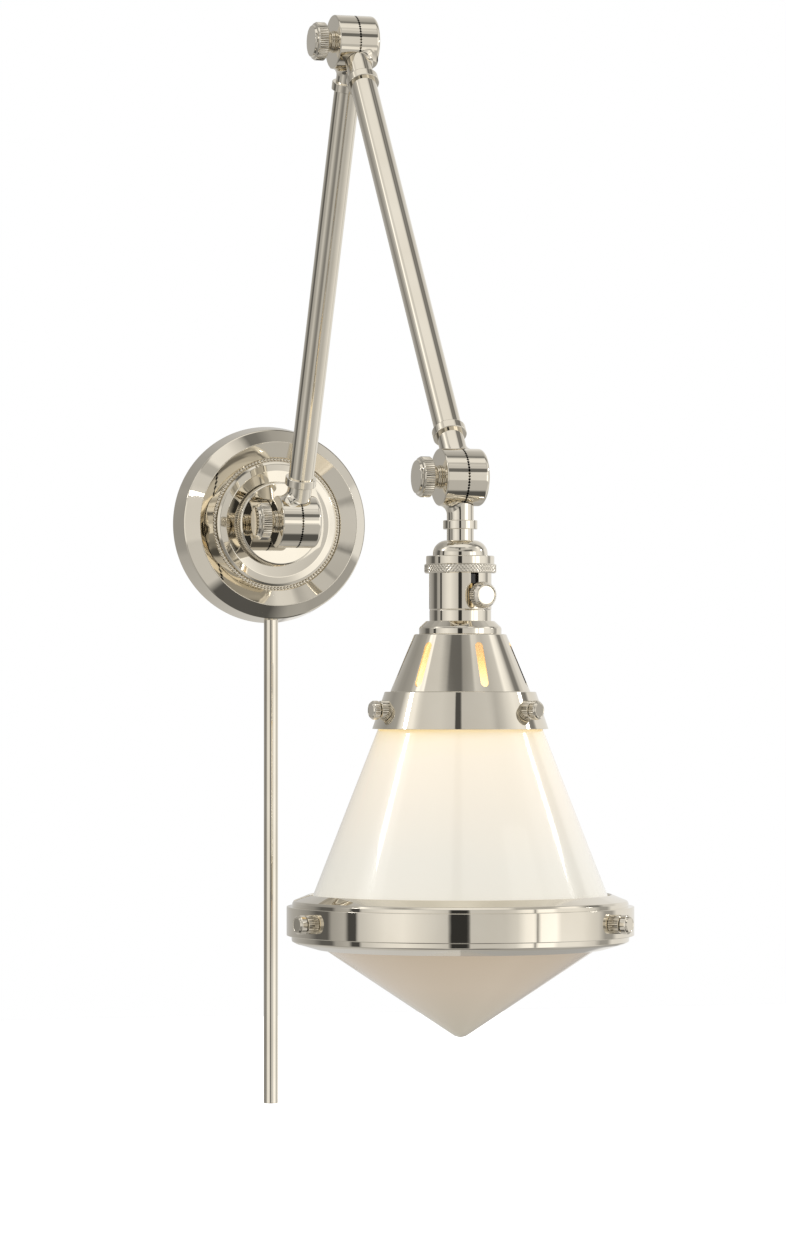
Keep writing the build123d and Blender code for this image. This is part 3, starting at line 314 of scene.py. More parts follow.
def make_materials():
    """Every material of the sconce by a plain key."""
    # painted light: the bulb's glow through the upper glass, brighter and warmer towards its top
    upper_glow = [
        (0.0, (0.55, 0.51, 0.42)),
        (0.22, (0.585, 0.546, 0.455)),
        (0.45, (0.72, 0.62, 0.477)),
        (0.68, (0.87, 0.72, 0.513)),
        (0.78, (0.963, 0.796, 0.54)),
        (0.86, (0.99, 0.765, 0.34)),
    ]
    # the glass's own pale colour, with painted warmth from the bulb's light towards the top
    upper_tint_and_warmth = [(0.0, (0.84, 0.83, 0.78)), (0.7, (0.84, 0.82, 0.76)), (0.9, (0.84, 0.76, 0.62))]
    # the bowl is the same opal glass; its glow is painted light from the bulb, and its darker, warmer tint
    # is painted shade and warmth
    bowl_glow = [(0.0, (0.63, 0.60, 0.46)), (0.5, (0.85, 0.67, 0.46)), (1.0, (0.71, 0.49, 0.26))]
    bowl_tint_and_shade = [(0.0, (0.70, 0.62, 0.52)), (1.0, (0.74, 0.65, 0.54))]
    return {
        "nickel": nickel("polished_nickel", (0.80, 0.745, 0.64), (0.86, 0.81, 0.71), 0.012, 0.04, 0.015),
        # darker, duller nickel for knurl grooves: painted shade, where the deep grooves shade themselves
        "groove": nickel("painted_groove_shade", (0.26, 0.225, 0.17), (0.36, 0.315, 0.24), 0.25, 0.38, 0.05),
        "upper": opal("opal_glass_lit", "upper_glass", 0.50, upper_glow, upper_tint_and_warmth),
        "bowl": opal("opal_glass", "lower_bowl", 0.30, bowl_glow, bowl_tint_and_shade),
        "zinc": plain("zinc_steel", (0.66, 0.66, 0.63), (0.52, 0.52, 0.50), 1.0, 0.38, 120.0),
        "green": plain("green_screw", (0.04, 0.32, 0.12), (0.02, 0.22, 0.07), 0.6, 0.3, 150.0),
        "pvc": plain("wire_insulation", (0.86, 0.84, 0.79), (0.78, 0.76, 0.70), 0.0, 0.45, 90.0),
        "fibre": plain("fibre_liner", (0.20, 0.13, 0.07), (0.10, 0.06, 0.03), 0.0, 0.8, 140.0, 0.5),
        "phenolic": plain("black_phenolic", (0.035, 0.032, 0.03), (0.02, 0.019, 0.018), 0.0, 0.3, 60.0),
        "brass": plain("drawn_brass", (0.82, 0.62, 0.28), (0.68, 0.49, 0.20), 1.0, 0.26, 110.0),
        "rubber": plain("gasket_silicone", (0.52, 0.51, 0.49), (0.42, 0.41, 0.39), 0.0, 0.6, 100.0),
        "bulb": bulb_glow(),
    }


MATERIALS = make_materials()


# ------------------------------------------------------------ mesh tools


class Build:
    """Vertices and faces of one piece, gathered from several closed shells."""

    def __init__(self):
        self.points = []
        self.faces = []
        self.grooves = []

    def in_groove(self, place):
        """Whether a place lies in the deeper part of one of the piece's knurls."""
        for origin, axis, low, high, floor, lip in self.grooves:
            offset = place - origin
            along = offset.dot(axis)
            reach = (offset - axis * along).length
            if low * MM < along < high * MM and floor * MM < reach < lip * MM:
                return True
        return False

    def ring(self, places):
        """Adds a closed ring of points, or one pole, and returns its numbers."""
        start = len(self.points)
        self.points.extend(places)
        return list(range(start, len(self.points)))

    def skin(self, first, second):
        """Joins two rings of the same count, or a ring and a pole, with faces."""
        count = max(len(first), len(second))
        for number in range(count):
            after = (number + 1) % count
            corners = [
                first[number % len(first)],
                first[after % len(first)],
                second[after % len(second)],
                second[number % len(second)],
            ]
            face = list(dict.fromkeys(corners))
            if len(face) > 2:
                self.faces.append(face)

    def finish(self, name, material, body, nodes, sharp=SHARP):
        """Makes the object, shades it smooth apart from sharp edges, and rides it.

        Faces down in a knurl's grooves take a darker material: painted shade where the grooves shade
        themselves.
        """
        mesh = bpy.data.meshes.new(name)
        mesh.from_pydata([tuple(p) for p in self.points], [], self.faces)
        mesh.validate()
        piece = bpy.data.objects.new(name, mesh)
        bpy.context.collection.objects.link(piece)
        outward(piece)
        mesh.polygons.foreach_set("use_smooth", [True] * len(mesh.polygons))
        mesh.set_sharp_from_angle(angle=math.radians(sharp))
        mesh.materials.append(MATERIALS[material])
        # the deep faces of each knurl take the painted groove shade
        if self.grooves:
            mesh.materials.append(MATERIALS["groove"])
            for face in mesh.polygons:
                face.material_index = int(self.in_groove(face.center))
        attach(piece, body)
        if nodes:
            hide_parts(*nodes)
        return piece


def outward(piece):
    """Turns every face of a closed piece to face outwards."""
    work = bmesh.new()
    work.from_mesh(piece.data)
    bmesh.ops.recalc_face_normals(work, faces=work.faces)
    work.to_mesh(piece.data)
    work.free()


def corner_arc(before, corner, after, radius):
    """Points that round one corner of a profile, with a guard point on each side."""
    back = before - corner
    ahead = after - corner
    room = min(back.length, ahead.length)
    half = back.angle(ahead, math.pi) / 2
    if radius <= 0 or half > math.radians(88) or room < 1e-4:
        return [corner]
    reach = min(radius / math.tan(half), room * 0.42)
    radius = reach * math.tan(half)
    start = corner + back.normalized() * reach
    end = corner + ahead.normalized() * reach
    bisector = (back.normalized() + ahead.normalized()).normalized()
    middle = corner + bisector * (radius / math.sin(half))
    first = start - middle
    last = end - middle
    guard = min(GUARD, room * 0.05)
    points = [start + back.normalized() * guard]
    for step in range(ROUND_STEPS + 1):
        share = step / ROUND_STEPS
        blend = first.lerp(last, share).normalized() * radius
        points.append(middle + blend)
    points.append(end + ahead.normalized() * guard)
    return points


def rounded(profile):
    """Closed profile of (radius, along, rounding) corners as a smooth list of points."""
    corners = [Vector((entry[0], entry[1])) for entry in profile]
    points = []
    for number, corner in enumerate(corners):
        rounding = profile[number][2] if len(profile[number]) > 2 else 0
        before = corners[number - 1]
        after = corners[(number + 1) % len(corners)]
        points.extend(corner_arc(before, corner, after, rounding))
    return points


def triangle(turns):
    """Triangle wave from 0 to 1 and back over each whole turn."""
    part = turns % 1.0
    return 2 * part if part < 0.5 else 2 - 2 * part


def lathe(build, origin, axis, profile, steps=160, ribs=None, teeth=None, cross=None):
    """Adds a closed solid of revolution about an axis through origin.

    profile holds (radius, along, rounding) in millimetres. ribs is (count, depth, low,
    high): rings between low and high get a straight knurl. teeth is (count, depth, at):
    rings at that place wave along the axis. cross is ribs and a pitch, for a diamond knurl.
    """
    side = axis.orthogonal().normalized()
    up = axis.cross(side)
    rings = []
    if ribs:
        depth, low, high = ribs[1:]
        crest = max(entry[0] for entry in profile if low - 0.01 < entry[1] < high + 0.01)
        build.grooves.append((origin, axis, low, high, crest - depth, crest - depth * GROOVE_SHARE))
    for point in rounded(profile):
        radius, along = point.x, point.y
        if radius < 1e-5:
            rings.append(build.ring([origin + axis * along * MM]))
            continue
        places = []
        for step in range(steps):
            turn = step / steps
            reach, shift = radius, along
            if ribs and ribs[2] - 1e-6 <= along <= ribs[3] + 1e-6:
                reach -= ribs[1] * triangle(turn * ribs[0])
            if teeth and abs(along - teeth[2]) < 1e-6:
                shift += teeth[1] * triangle(turn * teeth[0])
            if cross and cross[2] - 1e-6 <= along <= cross[3] + 1e-6:
                share = (along - cross[2]) / cross[4]
                first = triangle(turn * cross[0] + share)
                second = triangle(turn * cross[0] - share)
                reach -= cross[1] * max(first, second)
            angle = math.tau * turn
            spoke = side * math.cos(angle) + up * math.sin(angle)
            places.append(origin + (spoke * reach + axis * shift) * MM)
        rings.append(build.ring(places))
    for first, second in zip(rings, rings[1:] + rings[:1]):
        if len(first) > 1 or len(second) > 1:
            build.skin(first, second)


def turned(name, material, body, nodes, origin, axis, profile, slot="polished_nickel", **options):
    """One lathe-turned piece."""
    build = Build()
    lathe(build, origin, axis, profile, **options)
    return build.finish(name, material, body, nodes)


# ------------------------------------------------------------ hinges and arms


def neck(build, centre, direction, side, top):
    """Neck of a hinge half: blended into its own half, saddled over the other."""
    steps = 128
    level = direction.cross(ACROSS)

    def owned(turn):
        share = max(0.0, min(1.0, side * math.cos(turn) * 1.25))
        return share * share * (3 - 2 * share)

    def surface(turn, distance, lift):
        level_off = min(abs(distance * math.sin(turn)), BARREL_RADIUS - 0.5)
        return math.sqrt((BARREL_RADIUS + lift) ** 2 - level_off**2)

    def ring(place):
        places = []
        for step in range(steps):
            turn = math.tau * step / steps
            distance, height = place(turn)
            spoke = ACROSS * math.cos(turn) + level * math.sin(turn)
            places.append(centre + (spoke * distance + direction * height) * MM)
        return build.ring(places)

    rows = [ring(lambda turn: (NECK_RADIUS - 2.0, top)), ring(lambda turn: (NECK_RADIUS, top))]
    for share in (0.25, 0.5, 0.75):
        def part(turn, share=share):
            blend = FOOT_BLEND + FLARE_REACH * owned(turn)
            foot = surface(turn, NECK_RADIUS, SADDLE_CLEAR * (1 - owned(turn))) + blend
            return NECK_RADIUS, top + (foot - top) * share
        rows.append(ring(part))
    arc = 12
    for step in range(arc + 1):
        def curve(turn, bend=math.pi / 2 * step / arc):
            mine = owned(turn)
            blend = FOOT_BLEND + FLARE_REACH * mine
            distance = NECK_RADIUS + FLARE_REACH * mine * (1 - math.cos(bend))
            distance -= FOOT_BLEND * (1 - mine) * (1 - math.cos(bend))
            lift = SADDLE_CLEAR * (1 - mine) - 0.04 * mine * math.sin(bend)
            return distance, surface(turn, distance, lift) + blend * (1 - math.sin(bend))
        rows.append(ring(curve))
    for share in (0.8, 0.4):
        rows.append(ring(lambda turn, share=share: (
            NECK_RADIUS * share,
            surface(turn, NECK_RADIUS * share, SADDLE_CLEAR * (1 - owned(turn)) - 0.3 * owned(turn)),
        )))
    foot = build.ring([centre + direction * (BARREL_RADIUS + SADDLE_CLEAR / 2) * MM])
    for first, second in zip(rows, rows[1:]):
        build.skin(first, second)
    build.skin(rows[-1], foot)
    cap = build.ring([centre + direction * top * MM])
    build.skin(cap, rows[0])


def hinge_half(name, body, centre, direction, side, collar_at, outer_round):
    """Toothed barrel half with its neck; the screw's hole is blind in the far half."""
    build = Build()
    seam = side * SEAM_CLEAR
    end = side * HALF_LENGTH
    profile = [
        (RIM_INNER, seam + side * TOOTH_DEPTH),
        (RIM_INNER, seam),
        (BARREL_RADIUS, seam),
        (BARREL_RADIUS, end, outer_round),
    ]
    if side > 0:
        profile += [(0, end), (0, BLIND_END), (SCREW_HOLE, BLIND_END)]
    else:
        profile += [(SCREW_HOLE, end)]
    profile += [(SCREW_HOLE, seam + side * TOOTH_DEPTH)]
    lathe(build, centre, ACROSS, profile, steps=480,
          teeth=(TOOTH_COUNT, side * TOOTH_DEPTH, seam))
    neck(build, centre, direction, side, collar_at + COLLAR_LENGTH / 2)
    return build.finish(name + "_shell", "nickel", body, [name])


def collar_profile(start):
    end = start + COLLAR_LENGTH
    return [
        (NECK_RADIUS - 0.3, start),
        (COLLAR_RADIUS, start, COLLAR_ROUND),
        (COLLAR_RADIUS, end, COLLAR_ROUND),
        (TUBE_RADIUS - 0.3, end),
    ]


def arm(name, body, start, end, collar_at):
    """Arm tube with its two collars."""
    direction = (end - start).normalized()
    length = (end - start).length / MM
    seat = collar_at + COLLAR_LENGTH / 2
    tube = [
        (TUBE_RADIUS - TUBE_WALL, seat),
        (TUBE_RADIUS, seat),
        (TUBE_RADIUS, length * 0.35),
        (TUBE_RADIUS, length * 0.65),
        (TUBE_RADIUS, length - seat),
        (TUBE_RADIUS - TUBE_WALL, length - seat),
    ]
    turned(name + "_tube_skin", "nickel", body, [name + "_tube"], start, direction, tube, steps=128)
    collars = Build()
    lathe(collars, start, direction, collar_profile(collar_at), steps=128)
    lathe(collars, end, -direction, collar_profile(collar_at), steps=128)
    collars.finish(name + "_collar_rings", "nickel", body, [name + "_collars"])


def clamp_knob(name, body, washer_body, centre):
    """Knurled clamp knob with its turned neck, and the washer behind it."""
    axis = -ACROSS
    washer_end = HALF_LENGTH + WASHER_THICK
    back = washer_end + KNOB_NECK_LENGTH
    front = back + KNOB_LENGTH
    washer = [
        (WASHER_BORE, HALF_LENGTH),
        (WASHER_RADIUS, HALF_LENGTH, 0.5),
        (WASHER_RADIUS, HALF_LENGTH + 1.1, 0.25),
        (6.6, HALF_LENGTH + 1.25, 0.1),
        (7.0, HALF_LENGTH + 1.4, 0.2),
        (7.0, washer_end, 0.5),
        (WASHER_BORE, washer_end),
    ]
    turned(name + "_washer_turned", "nickel", washer_body, [name + "_washer"], centre, axis, washer)
    knob = [
        (0, -8.0),
        (SCREW_RADIUS, -8.0, 0.5),
        (SCREW_RADIUS, washer_end + 0.05),
        (6.0, washer_end + 0.05, 0.3),
        (6.2, washer_end + 1.4, 1.0),
        (9.2, back - 0.1, 1.0),
        (11.2, back, 0.5),
        (11.8, back + 0.5, 0.3),
        (KNOB_RADIUS, back + 0.7),
        (KNOB_RADIUS, front - 3.0),
        (11.8, front - 2.8, 0.15),
        (11.7, front - 2.0, 0.6),
        (10.3, front - 1.5, 0.3),
        (10.1, front - 0.9, 0.25),
        (9.9, front, 0.6),
        (0, front),
    ]
    turned(name + "_turned", "nickel", body, [name], centre, axis, knob, steps=480,
           ribs=(KNOB_RIBS, KNOB_RIB_DEPTH, back + 0.7, front - 3.0))


def hinges_and_arms():
    """Three hinges, two arms and the swivel stem at the wall."""
    hinge_half("wall_hinge_left", "lower_arm", SHOULDER, LOWER_UP, -1, LOWER_COLLAR_AT, 0.8)
    hinge_half("wall_hinge_right", "swivel", SHOULDER, -OUT, 1, LOWER_COLLAR_AT, 2.6)
    hinge_half("elbow_hinge_left", "lower_arm", ELBOW, -LOWER_UP, -1, LOWER_COLLAR_AT, 0.8)
    hinge_half("elbow_hinge_right", "forearm", ELBOW, FORE_DOWN, 1, FORE_COLLAR_AT, 2.6)
    hinge_half("shade_hinge_right", "forearm", SHADE, -FORE_DOWN, 1, FORE_COLLAR_AT, 2.6)
    hinge_half("shade_hinge_left", "shade", SHADE, DOWN, -1, STEM_COLLAR_AT, 0.8)
    arm("lower_arm", "lower_arm", SHOULDER, ELBOW, LOWER_COLLAR_AT)
    arm("forearm", "forearm", ELBOW, SHADE, FORE_COLLAR_AT)
    clamp_knob("wall_knob", "wall_clamp", "lower_arm", SHOULDER)
    clamp_knob("elbow_knob", "elbow_clamp", "lower_arm", ELBOW)
    clamp_knob("shade_knob", "shade_clamp", "shade", SHADE)


# ------------------------------------------------------------ wall side


def backplate():
    """Spun backplate with its bevel, dished band, bead groove and floor."""
    profile = [
        (66.6, 0.0, 0.4),
        (63.9, 17.6, 0.9),
        (63.1, 18.3, 0.3),
        (55.3, 27.0, 0.5),
        (44.9, 22.6, 0.3),
        (44.6, GROOVE_FLOOR),
        (42.2, GROOVE_FLOOR),
        (42.1, 23.2, 0.6),
        (40.4, 24.2, 1.2),
        (36.0, 24.75, 3.0),
        (28.0, PLATE_FLOOR),
        (BUSH_RADIUS, PLATE_FLOOR),
        (BUSH_RADIUS, PLATE_FLOOR - PLATE_WALL),
        (36.0, 23.4),
        (40.8, 22.6),
        (41.0, 19.6),
        (45.9, 19.6),
        (46.1, 21.6),
        (55.2, 25.4),
        (62.2, 17.2),
        (65.4, 0.0),
    ]
    turned("backplate_spun", "nickel", "root", ["backplate"], WALL, OUT, profile, steps=256)


def boss():
    """Central boss with a coin edge and a flat mirror face."""
    profile = [
        (BUSH_RADIUS, PLATE_FLOOR),
        (27.4, PLATE_FLOOR, 0.2),
        (27.7, 24.7),
        (BOSS_RADIUS, 24.9),
        (BOSS_RADIUS, 29.7),
        (27.9, 29.9, 0.1),
        (27.8, 30.4, 0.3),
        (27.0, BOSS_FRONT, 0.5),
        (BUSH_RADIUS, BOSS_FRONT),
    ]
    turned("boss_turned", "nickel", "root", ["boss"], WALL, OUT, profile, steps=900,
           ribs=(BOSS_RIBS, 0.55, 24.85, 29.75))


def bead_ring():
    """Rope of small round beads in the groove, on a thin backing ring."""
    backing = [(42.4, GROOVE_FLOOR), (44.4, GROOVE_FLOOR), (44.4, 21.5, 0.2), (42.4, 21.5, 0.2)]
    build = Build()
    lathe(build, WALL, OUT, backing, steps=256)
    for number in range(BEAD_COUNT):
        turn = math.tau * number / BEAD_COUNT
        centre = Vector((BEAD_CIRCLE * math.cos(turn), 0, BEAD_CIRCLE * math.sin(turn))) * MM
        bends = [math.pi * step / 8 for step in range(1, 8)]
        half = [(BEAD_RADIUS * math.sin(bend), BEAD_DEPTH - BEAD_RADIUS * math.cos(bend)) for bend in bends]
        profile = [(0, BEAD_DEPTH - BEAD_RADIUS), *half, (0, BEAD_DEPTH + BEAD_RADIUS)]
        lathe(build, centre, OUT, profile, steps=12)
    build.finish("bead_rope", "nickel", "root", ["bead_ring"], sharp=60.0)


def swivel():
    """Bush, stem and collar between the boss and the wall hinge."""
    neck_end = -SHOULDER.y / MM - LOWER_COLLAR_AT - COLLAR_LENGTH / 2
    turned("swivel_bush_turned", "nickel", "root", ["swivel_bush"], WALL, OUT, [
        (BUSH_BORE, 1.2), (8.1, 1.2), (8.1, 19.8), (BUSH_RADIUS, 19.8), (BUSH_RADIUS, BOSS_FRONT),
        (11.1, BOSS_FRONT), (11.1, 32.8, 0.7), (BUSH_BORE, 32.8, 0.2),
    ])
    turned("swivel_stem_turned", "nickel", "swivel", ["swivel_stem"], WALL, OUT, [
        (NECK_BORE, 1.6), (6.0, 1.6), (6.0, 32.9), (8.0, 32.9), (8.0, neck_end), (NECK_BORE, neck_end),
    ])
    turned("swivel_collar_turned", "nickel", "swivel", ["swivel_collar"], WALL, OUT, [
        (7.9, 33.2), (COLLAR_RADIUS, 33.2, COLLAR_ROUND),
        (COLLAR_RADIUS, neck_end + COLLAR_LENGTH / 2, COLLAR_ROUND), (7.9, neck_end + COLLAR_LENGTH / 2),
    ])


def cord_cover():
    """Straight tube down the wall with a softened lower end."""
    low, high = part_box("cord_cover")
    centre = Vector(((low.x + high.x) / 2, (low.y + high.y) / 2, 0))
    bottom, top = low.z / MM, high.z / MM
    middle = (bottom + top) / 2
    turned("cord_cover_tube", "nickel", "root", ["cord_cover"], centre, -DOWN, [
        (COVER_BORE, bottom, 0.15), (COVER_RADIUS, bottom, 0.25), (COVER_RADIUS, middle),
        (COVER_RADIUS, top), (COVER_BORE, top), (COVER_BORE, middle),
    ], steps=96)


# ------------------------------------------------------------ socket


def socket():
    """Stem, cap, knurled ring, shell with its keyhole, and the fitter cup."""
    def part(name, node, profile, **options):
        return turned(name, "nickel", "shade", [node], SHADE, DOWN, profile, **options)

    part("stem_collar_turned", "stem_collar", collar_profile(STEM_COLLAR_AT), steps=128)
    middle = STEM_COLLAR_AT + COLLAR_LENGTH / 2
    part("socket_stem_turned", "socket_stem", [
        (NECK_BORE, middle), (NECK_RADIUS, middle), (NECK_RADIUS, 37.9), (5.0, 37.9), (5.0, 42.8),
        (NECK_BORE, 42.8),
    ])
    dome = []
    for step in range(1, 13):
        bend = math.pi / 2 * step / 12
        dome.append((8.2 + CAP_ROUND * math.sin(bend), 46.2 - CAP_ROUND * math.cos(bend)))
    part("socket_cap_spun", "socket_cap", [
        (5.0, 38.0), (8.2, 37.9, 0.2), *dome, (CAP_RADIUS, BAND_TOP, 0.1), (BAND_RADIUS, BAND_TOP, 0.6),
        (BAND_RADIUS, KNURL_TOP), (SLEEVE_BORE, KNURL_TOP), (SLEEVE_BORE, 48.4), (15.4, 48.4), (15.4, 46.8),
        (11.5, 41.6), (5.0, 39.0),
    ])
    low, high = KNURL_TOP + 0.6, SHELL_TOP - 0.7
    rows = [(KNURL_RADIUS, low + (high - low) * step / 24) for step in range(25)]
    part("socket_ring_knurled", "socket_ring", [
        (SLEEVE_BORE, KNURL_TOP), (20.9, KNURL_TOP, 0.1), (21.3, KNURL_TOP + 0.4, 0.1), *rows,
        (21.3, SHELL_TOP - 0.4, 0.1), (20.9, SHELL_TOP, 0.1), (SLEEVE_BORE, SHELL_TOP),
    ], steps=960, cross=(64, 0.42, low, high, 2.4))
    shell = part("socket_shell_spun", "socket_shell", [
        (SHELL_RADIUS, SHELL_TOP), (SHELL_RADIUS, SHELL_SEAM - 0.5, 0.2), (18.35, SHELL_SEAM, 0.15),
        (18.55, SHELL_SEAM + 0.4, 0.2), (18.55, SHELL_END), (SHELL_BORE, SHELL_END),
        (SHELL_BORE, SHELL_TOP),
    ], steps=256)
    keyhole(shell)
    part("fitter_cup_turned", "fitter_cup", [
        (18.6, CUP_TOP), (20.6, CUP_TOP, 0.5), (24.3, 90.0, 0.9), (CUP_RADIUS, 91.0, 0.6),
        (CUP_RADIUS, CANOPY_TOP, 0.25), (18.6, CANOPY_TOP),
    ])


def cut(piece, cutter):
    """Subtracts a closed mesh from a piece and removes the cutter."""
    modifier = piece.modifiers.new("cut", "BOOLEAN")
    modifier.operation = "DIFFERENCE"
    modifier.solver = "EXACT"
    modifier.object = cutter
    for other in bpy.context.selected_objects:
        other.select_set(False)
    bpy.context.view_layer.objects.active = piece
    bpy.ops.object.modifier_apply(modifier=modifier.name)
    bpy.data.objects.remove(cutter, do_unlink=True)
    piece.data.set_sharp_from_angle(angle=math.radians(SHARP))


def stadium_cutter(origin, outward_dir, along, length, width, near, far):
    """Closed prism with rounded ends, pointing outward, for slots and keyholes."""
    level = outward_dir.cross(along).normalized()
    outline = []
    straight = (length - width) / 2
    for end in (1, -1):
        for step in range(17):
            turn = math.pi * step / 16 - math.pi / 2
            across = end * width / 2 * math.sin(turn)
            outline.append((end * (straight + width / 2 * math.cos(turn)), across))
    build = Build()
    rings = []
    for depth in (near, far):
        rings.append(build.ring([
            origin + (along * a + level * b + outward_dir * depth) * MM for a, b in outline
        ]))
    build.skin(rings[0], rings[1])
    mesh = bpy.data.meshes.new("cutter")
    build.faces.append(rings[0])
    build.faces.append(rings[1][::-1])
    mesh.from_pydata([tuple(p) for p in build.points], [], build.faces)
    cutter = bpy.data.objects.new("cutter", mesh)
    bpy.context.collection.objects.link(cutter)
    outward(cutter)
    return cutter


def joint_axis(name):
    return Vector(JOINTS[name]["axis"]).normalized()


def joint_centre(name):
    return Vector(JOINTS[name]["pos_m"])


def keyhole(shell):
    """Slot in the shell for the turn key's shaft, open at the shell's top."""
    facing = joint_axis("switch_turn")
    centre = joint_centre("switch_turn")
    middle = centre - DOWN * KEYHOLE_RISE * MM
    cut(shell, stadium_cutter(middle, facing, DOWN, KEYHOLE_LENGTH, KEYHOLE_WIDTH, 10, 30))


def turn_key():
    """Knurled turn key with a dished face, on its thin shaft."""
    start, end = 25.6, 33.9
    turned("switch_knob_turned", "nickel", "switch", ["switch_knob"], joint_centre("switch_turn"),
           joint_axis("switch_turn"), [
        (0, 14.8), (2.1, 14.8), (2.1, start, 0.2), (7.0, start, 0.4), (7.5, start + 0.6),
        (7.9, start + 0.8), (7.9, end - 2.6), (7.5, end - 2.4, 0.1), (7.4, end - 1.9, 0.5),
        (6.4, end - 0.2, 0.3), (5.9, end, 0.2), (5.5, end - 0.7, 0.3), (0, end - 0.6),
    ], steps=432, ribs=(36, SMALL_RIB_DEPTH, start + 0.8, end - 2.6))


# ------------------------------------------------------------ shade


def canopy():
    """Vented canopy with a stepped skirt."""
    piece = turned("canopy_spun", "nickel", "shade", ["canopy"], SHADE, DOWN, [
        (16.0, CANOPY_TOP), (27.6, CANOPY_TOP, 0.9), (34.0, 109.5), (CANOPY_STEP_RADIUS, CANOPY_STEP, 0.25),
        (45.5, 129.0, 0.5), (SKIRT_RADIUS, SKIRT_BOTTOM, 0.2), (52.1, SKIRT_BOTTOM, 0.2), (44.8, 130.1),
        (41.1, 129.8), (33.1, 110.4), (26.9, 96.3), (16.0, 95.3),
    ], steps=360)
    for number in range(VENT_COUNT):
        turn = math.radians(VENT_TURN + 360 * number / VENT_COUNT)
        facing = Vector((math.sin(turn), -math.cos(turn), 0))
        middle = SHADE + DOWN * VENT_MIDDLE * MM
        cut(piece, stadium_cutter(middle, facing, DOWN, VENT_LENGTH, VENT_WIDTH, 20, 60))
    for number in (1, 2, 3):
        facing = joint_axis(f"canopy_thumb_turn_{number}")
        centre = joint_centre(f"canopy_thumb_turn_{number}")
        cut(piece, stadium_cutter(centre, facing, DOWN, 3.5, 3.49, 40, 60))


def upper_glass():
    """Opal cone with a straight neck and an outward flange."""
    turned("upper_glass_opal", "upper", "shade", ["upper_glass"], SHADE, DOWN, [
        (40.0, GLASS_TOP, 1.2), (GLASS_NECK_RADIUS, GLASS_TOP, 1.2), (GLASS_NECK_RADIUS, 144.0, 2.0),
        (48.6, 149.0, 2.0), (69.0, 201.1), (88.6, 251.4, 0.8), (90.4, 253.3, 0.4),
        (FLANGE_RADIUS, 256.4, 0.8), (FLANGE_RADIUS, FLANGE_BOTTOM, 0.6), (85.6, FLANGE_BOTTOM, 0.8),
        (64.6, 201.1), (44.0, 149.0, 2.0), (40.0, 144.0, 2.0),
    ], slot="opal_glass_lit", steps=256)


def ring():
    """Band and base of the metal ring that joins the two glasses."""
    turned("ring_band_spun", "nickel", "shade", ["ring_band"], SHADE, DOWN, [
        (90.2, 251.6, 0.2), (90.9, 250.6, 0.4), (100.2, 254.4, 0.9), (101.0, 255.8, 0.5), (101.0, RING_TOP),
        (RING_RADIUS, RING_TOP, 0.5), (RING_RADIUS, RING_BOTTOM, 0.35), (103.2, RING_BOTTOM, 0.2),
        (103.2, 258.9), (99.8, 258.9), (99.8, 256.4), (90.6, 252.6),
    ], steps=384)
    turned("ring_base_spun", "nickel", "shade", ["ring_base"], SHADE, DOWN, [
        (103.1, 261.0), (103.1, RING_BOTTOM), (101.5, 275.3, 0.1), (101.3, 278.6, 0.9), (99.0, 279.8, 0.8),
        (86.9, 283.3, 0.4), (86.5, 282.6, 0.3), (98.4, 278.6), (99.9, 277.6), (99.9, 273.8), (101.7, 272.6),
        (101.7, 261.0),
    ], steps=384)


def lower_bowl():
    """Opal cone that closes the shade, with a softly rounded tip."""
    turned("lower_bowl_opal", "bowl", "shade", ["lower_bowl"], SHADE, DOWN, [
        (0, BOWL_TIP), (3.4, 335.7), (7.1, 333.3, 3.0), (45.0, 308.1), (82.0, 283.4, 1.5),
        (85.0, 281.2, 1.0), (98.0, 277.6, 0.8), (FLANGE_RADIUS, 276.4, 0.5), (FLANGE_RADIUS, 272.9, 0.4),
        (96.0, 272.2, 0.6), (82.4, 276.4, 1.5), (42.6, 304.3), (4.0, 330.4, 2.0),
        (0, BOWL_TIP - GLASS_WALL),
    ], slot="opal_glass", steps=256)


def thumbscrew(kind, number, seat, tip):
    """Knurled thumbscrew with its collar of bare shank."""
    joint = f"{kind}_thumb_turn_{number}"
    head = seat + 4.4
    end = head + 5.0
    screw = f"{kind}_screw_{number}"
    turned(screw + "_turned", "nickel", f"{kind}_thumb_{number}", [screw],
           joint_centre(joint), joint_axis(joint), [
        (0, tip), (1.65, tip, 0.4), (1.65, head, 0.1), (4.9, head, 0.4), (5.35, head + 0.4),
        (5.7, head + 0.55), (5.7, end - 1.5), (5.35, end - 1.3, 0.1), (5.2, end - 0.9, 0.3),
        (4.4, end, 0.4), (3.9, end - 0.3, 0.2), (0, end - 0.3),
    ], steps=240, ribs=(30, SMALL_RIB_DEPTH, head + 0.55, end - 1.5))


def nuts(kind, seat, start):
    """Three knurled nuts under the thumbscrew heads."""
    build = Build()
    for number in (1, 2, 3):
        joint = f"{kind}_thumb_turn_{number}"
        lathe(build, joint_centre(joint), joint_axis(joint), [
            (1.75, start), (5.2, start), (5.6, start + 0.1), (5.6, seat + 3.3), (5.2, seat + 3.5, 0.1),
            (4.7, seat + 3.8, 0.3), (1.75, seat + 3.8, 0.1),
        ], steps=240, ribs=(30, SMALL_RIB_DEPTH, start + 0.05, seat + 3.3))
    build.finish(f"{kind}_nuts_knurled", "nickel", "shade", [f"{kind}_nuts"])


def thumbscrews():
    """Both sets of three thumbscrews with their nuts."""
    for number in (1, 2, 3):
        thumbscrew("canopy", number, SCREWED_RADIUS, GLASS_NECK_RADIUS + 0.05)
        thumbscrew("ring", number, RING_RADIUS, 103.15)
    nuts("canopy", SCREWED_RADIUS, SCREWED_RADIUS - 3.0)
    nuts("ring", RING_RADIUS, RING_RADIUS - 0.8)


# ------------------------------------------------------------ pieces that stay as the CAD made them


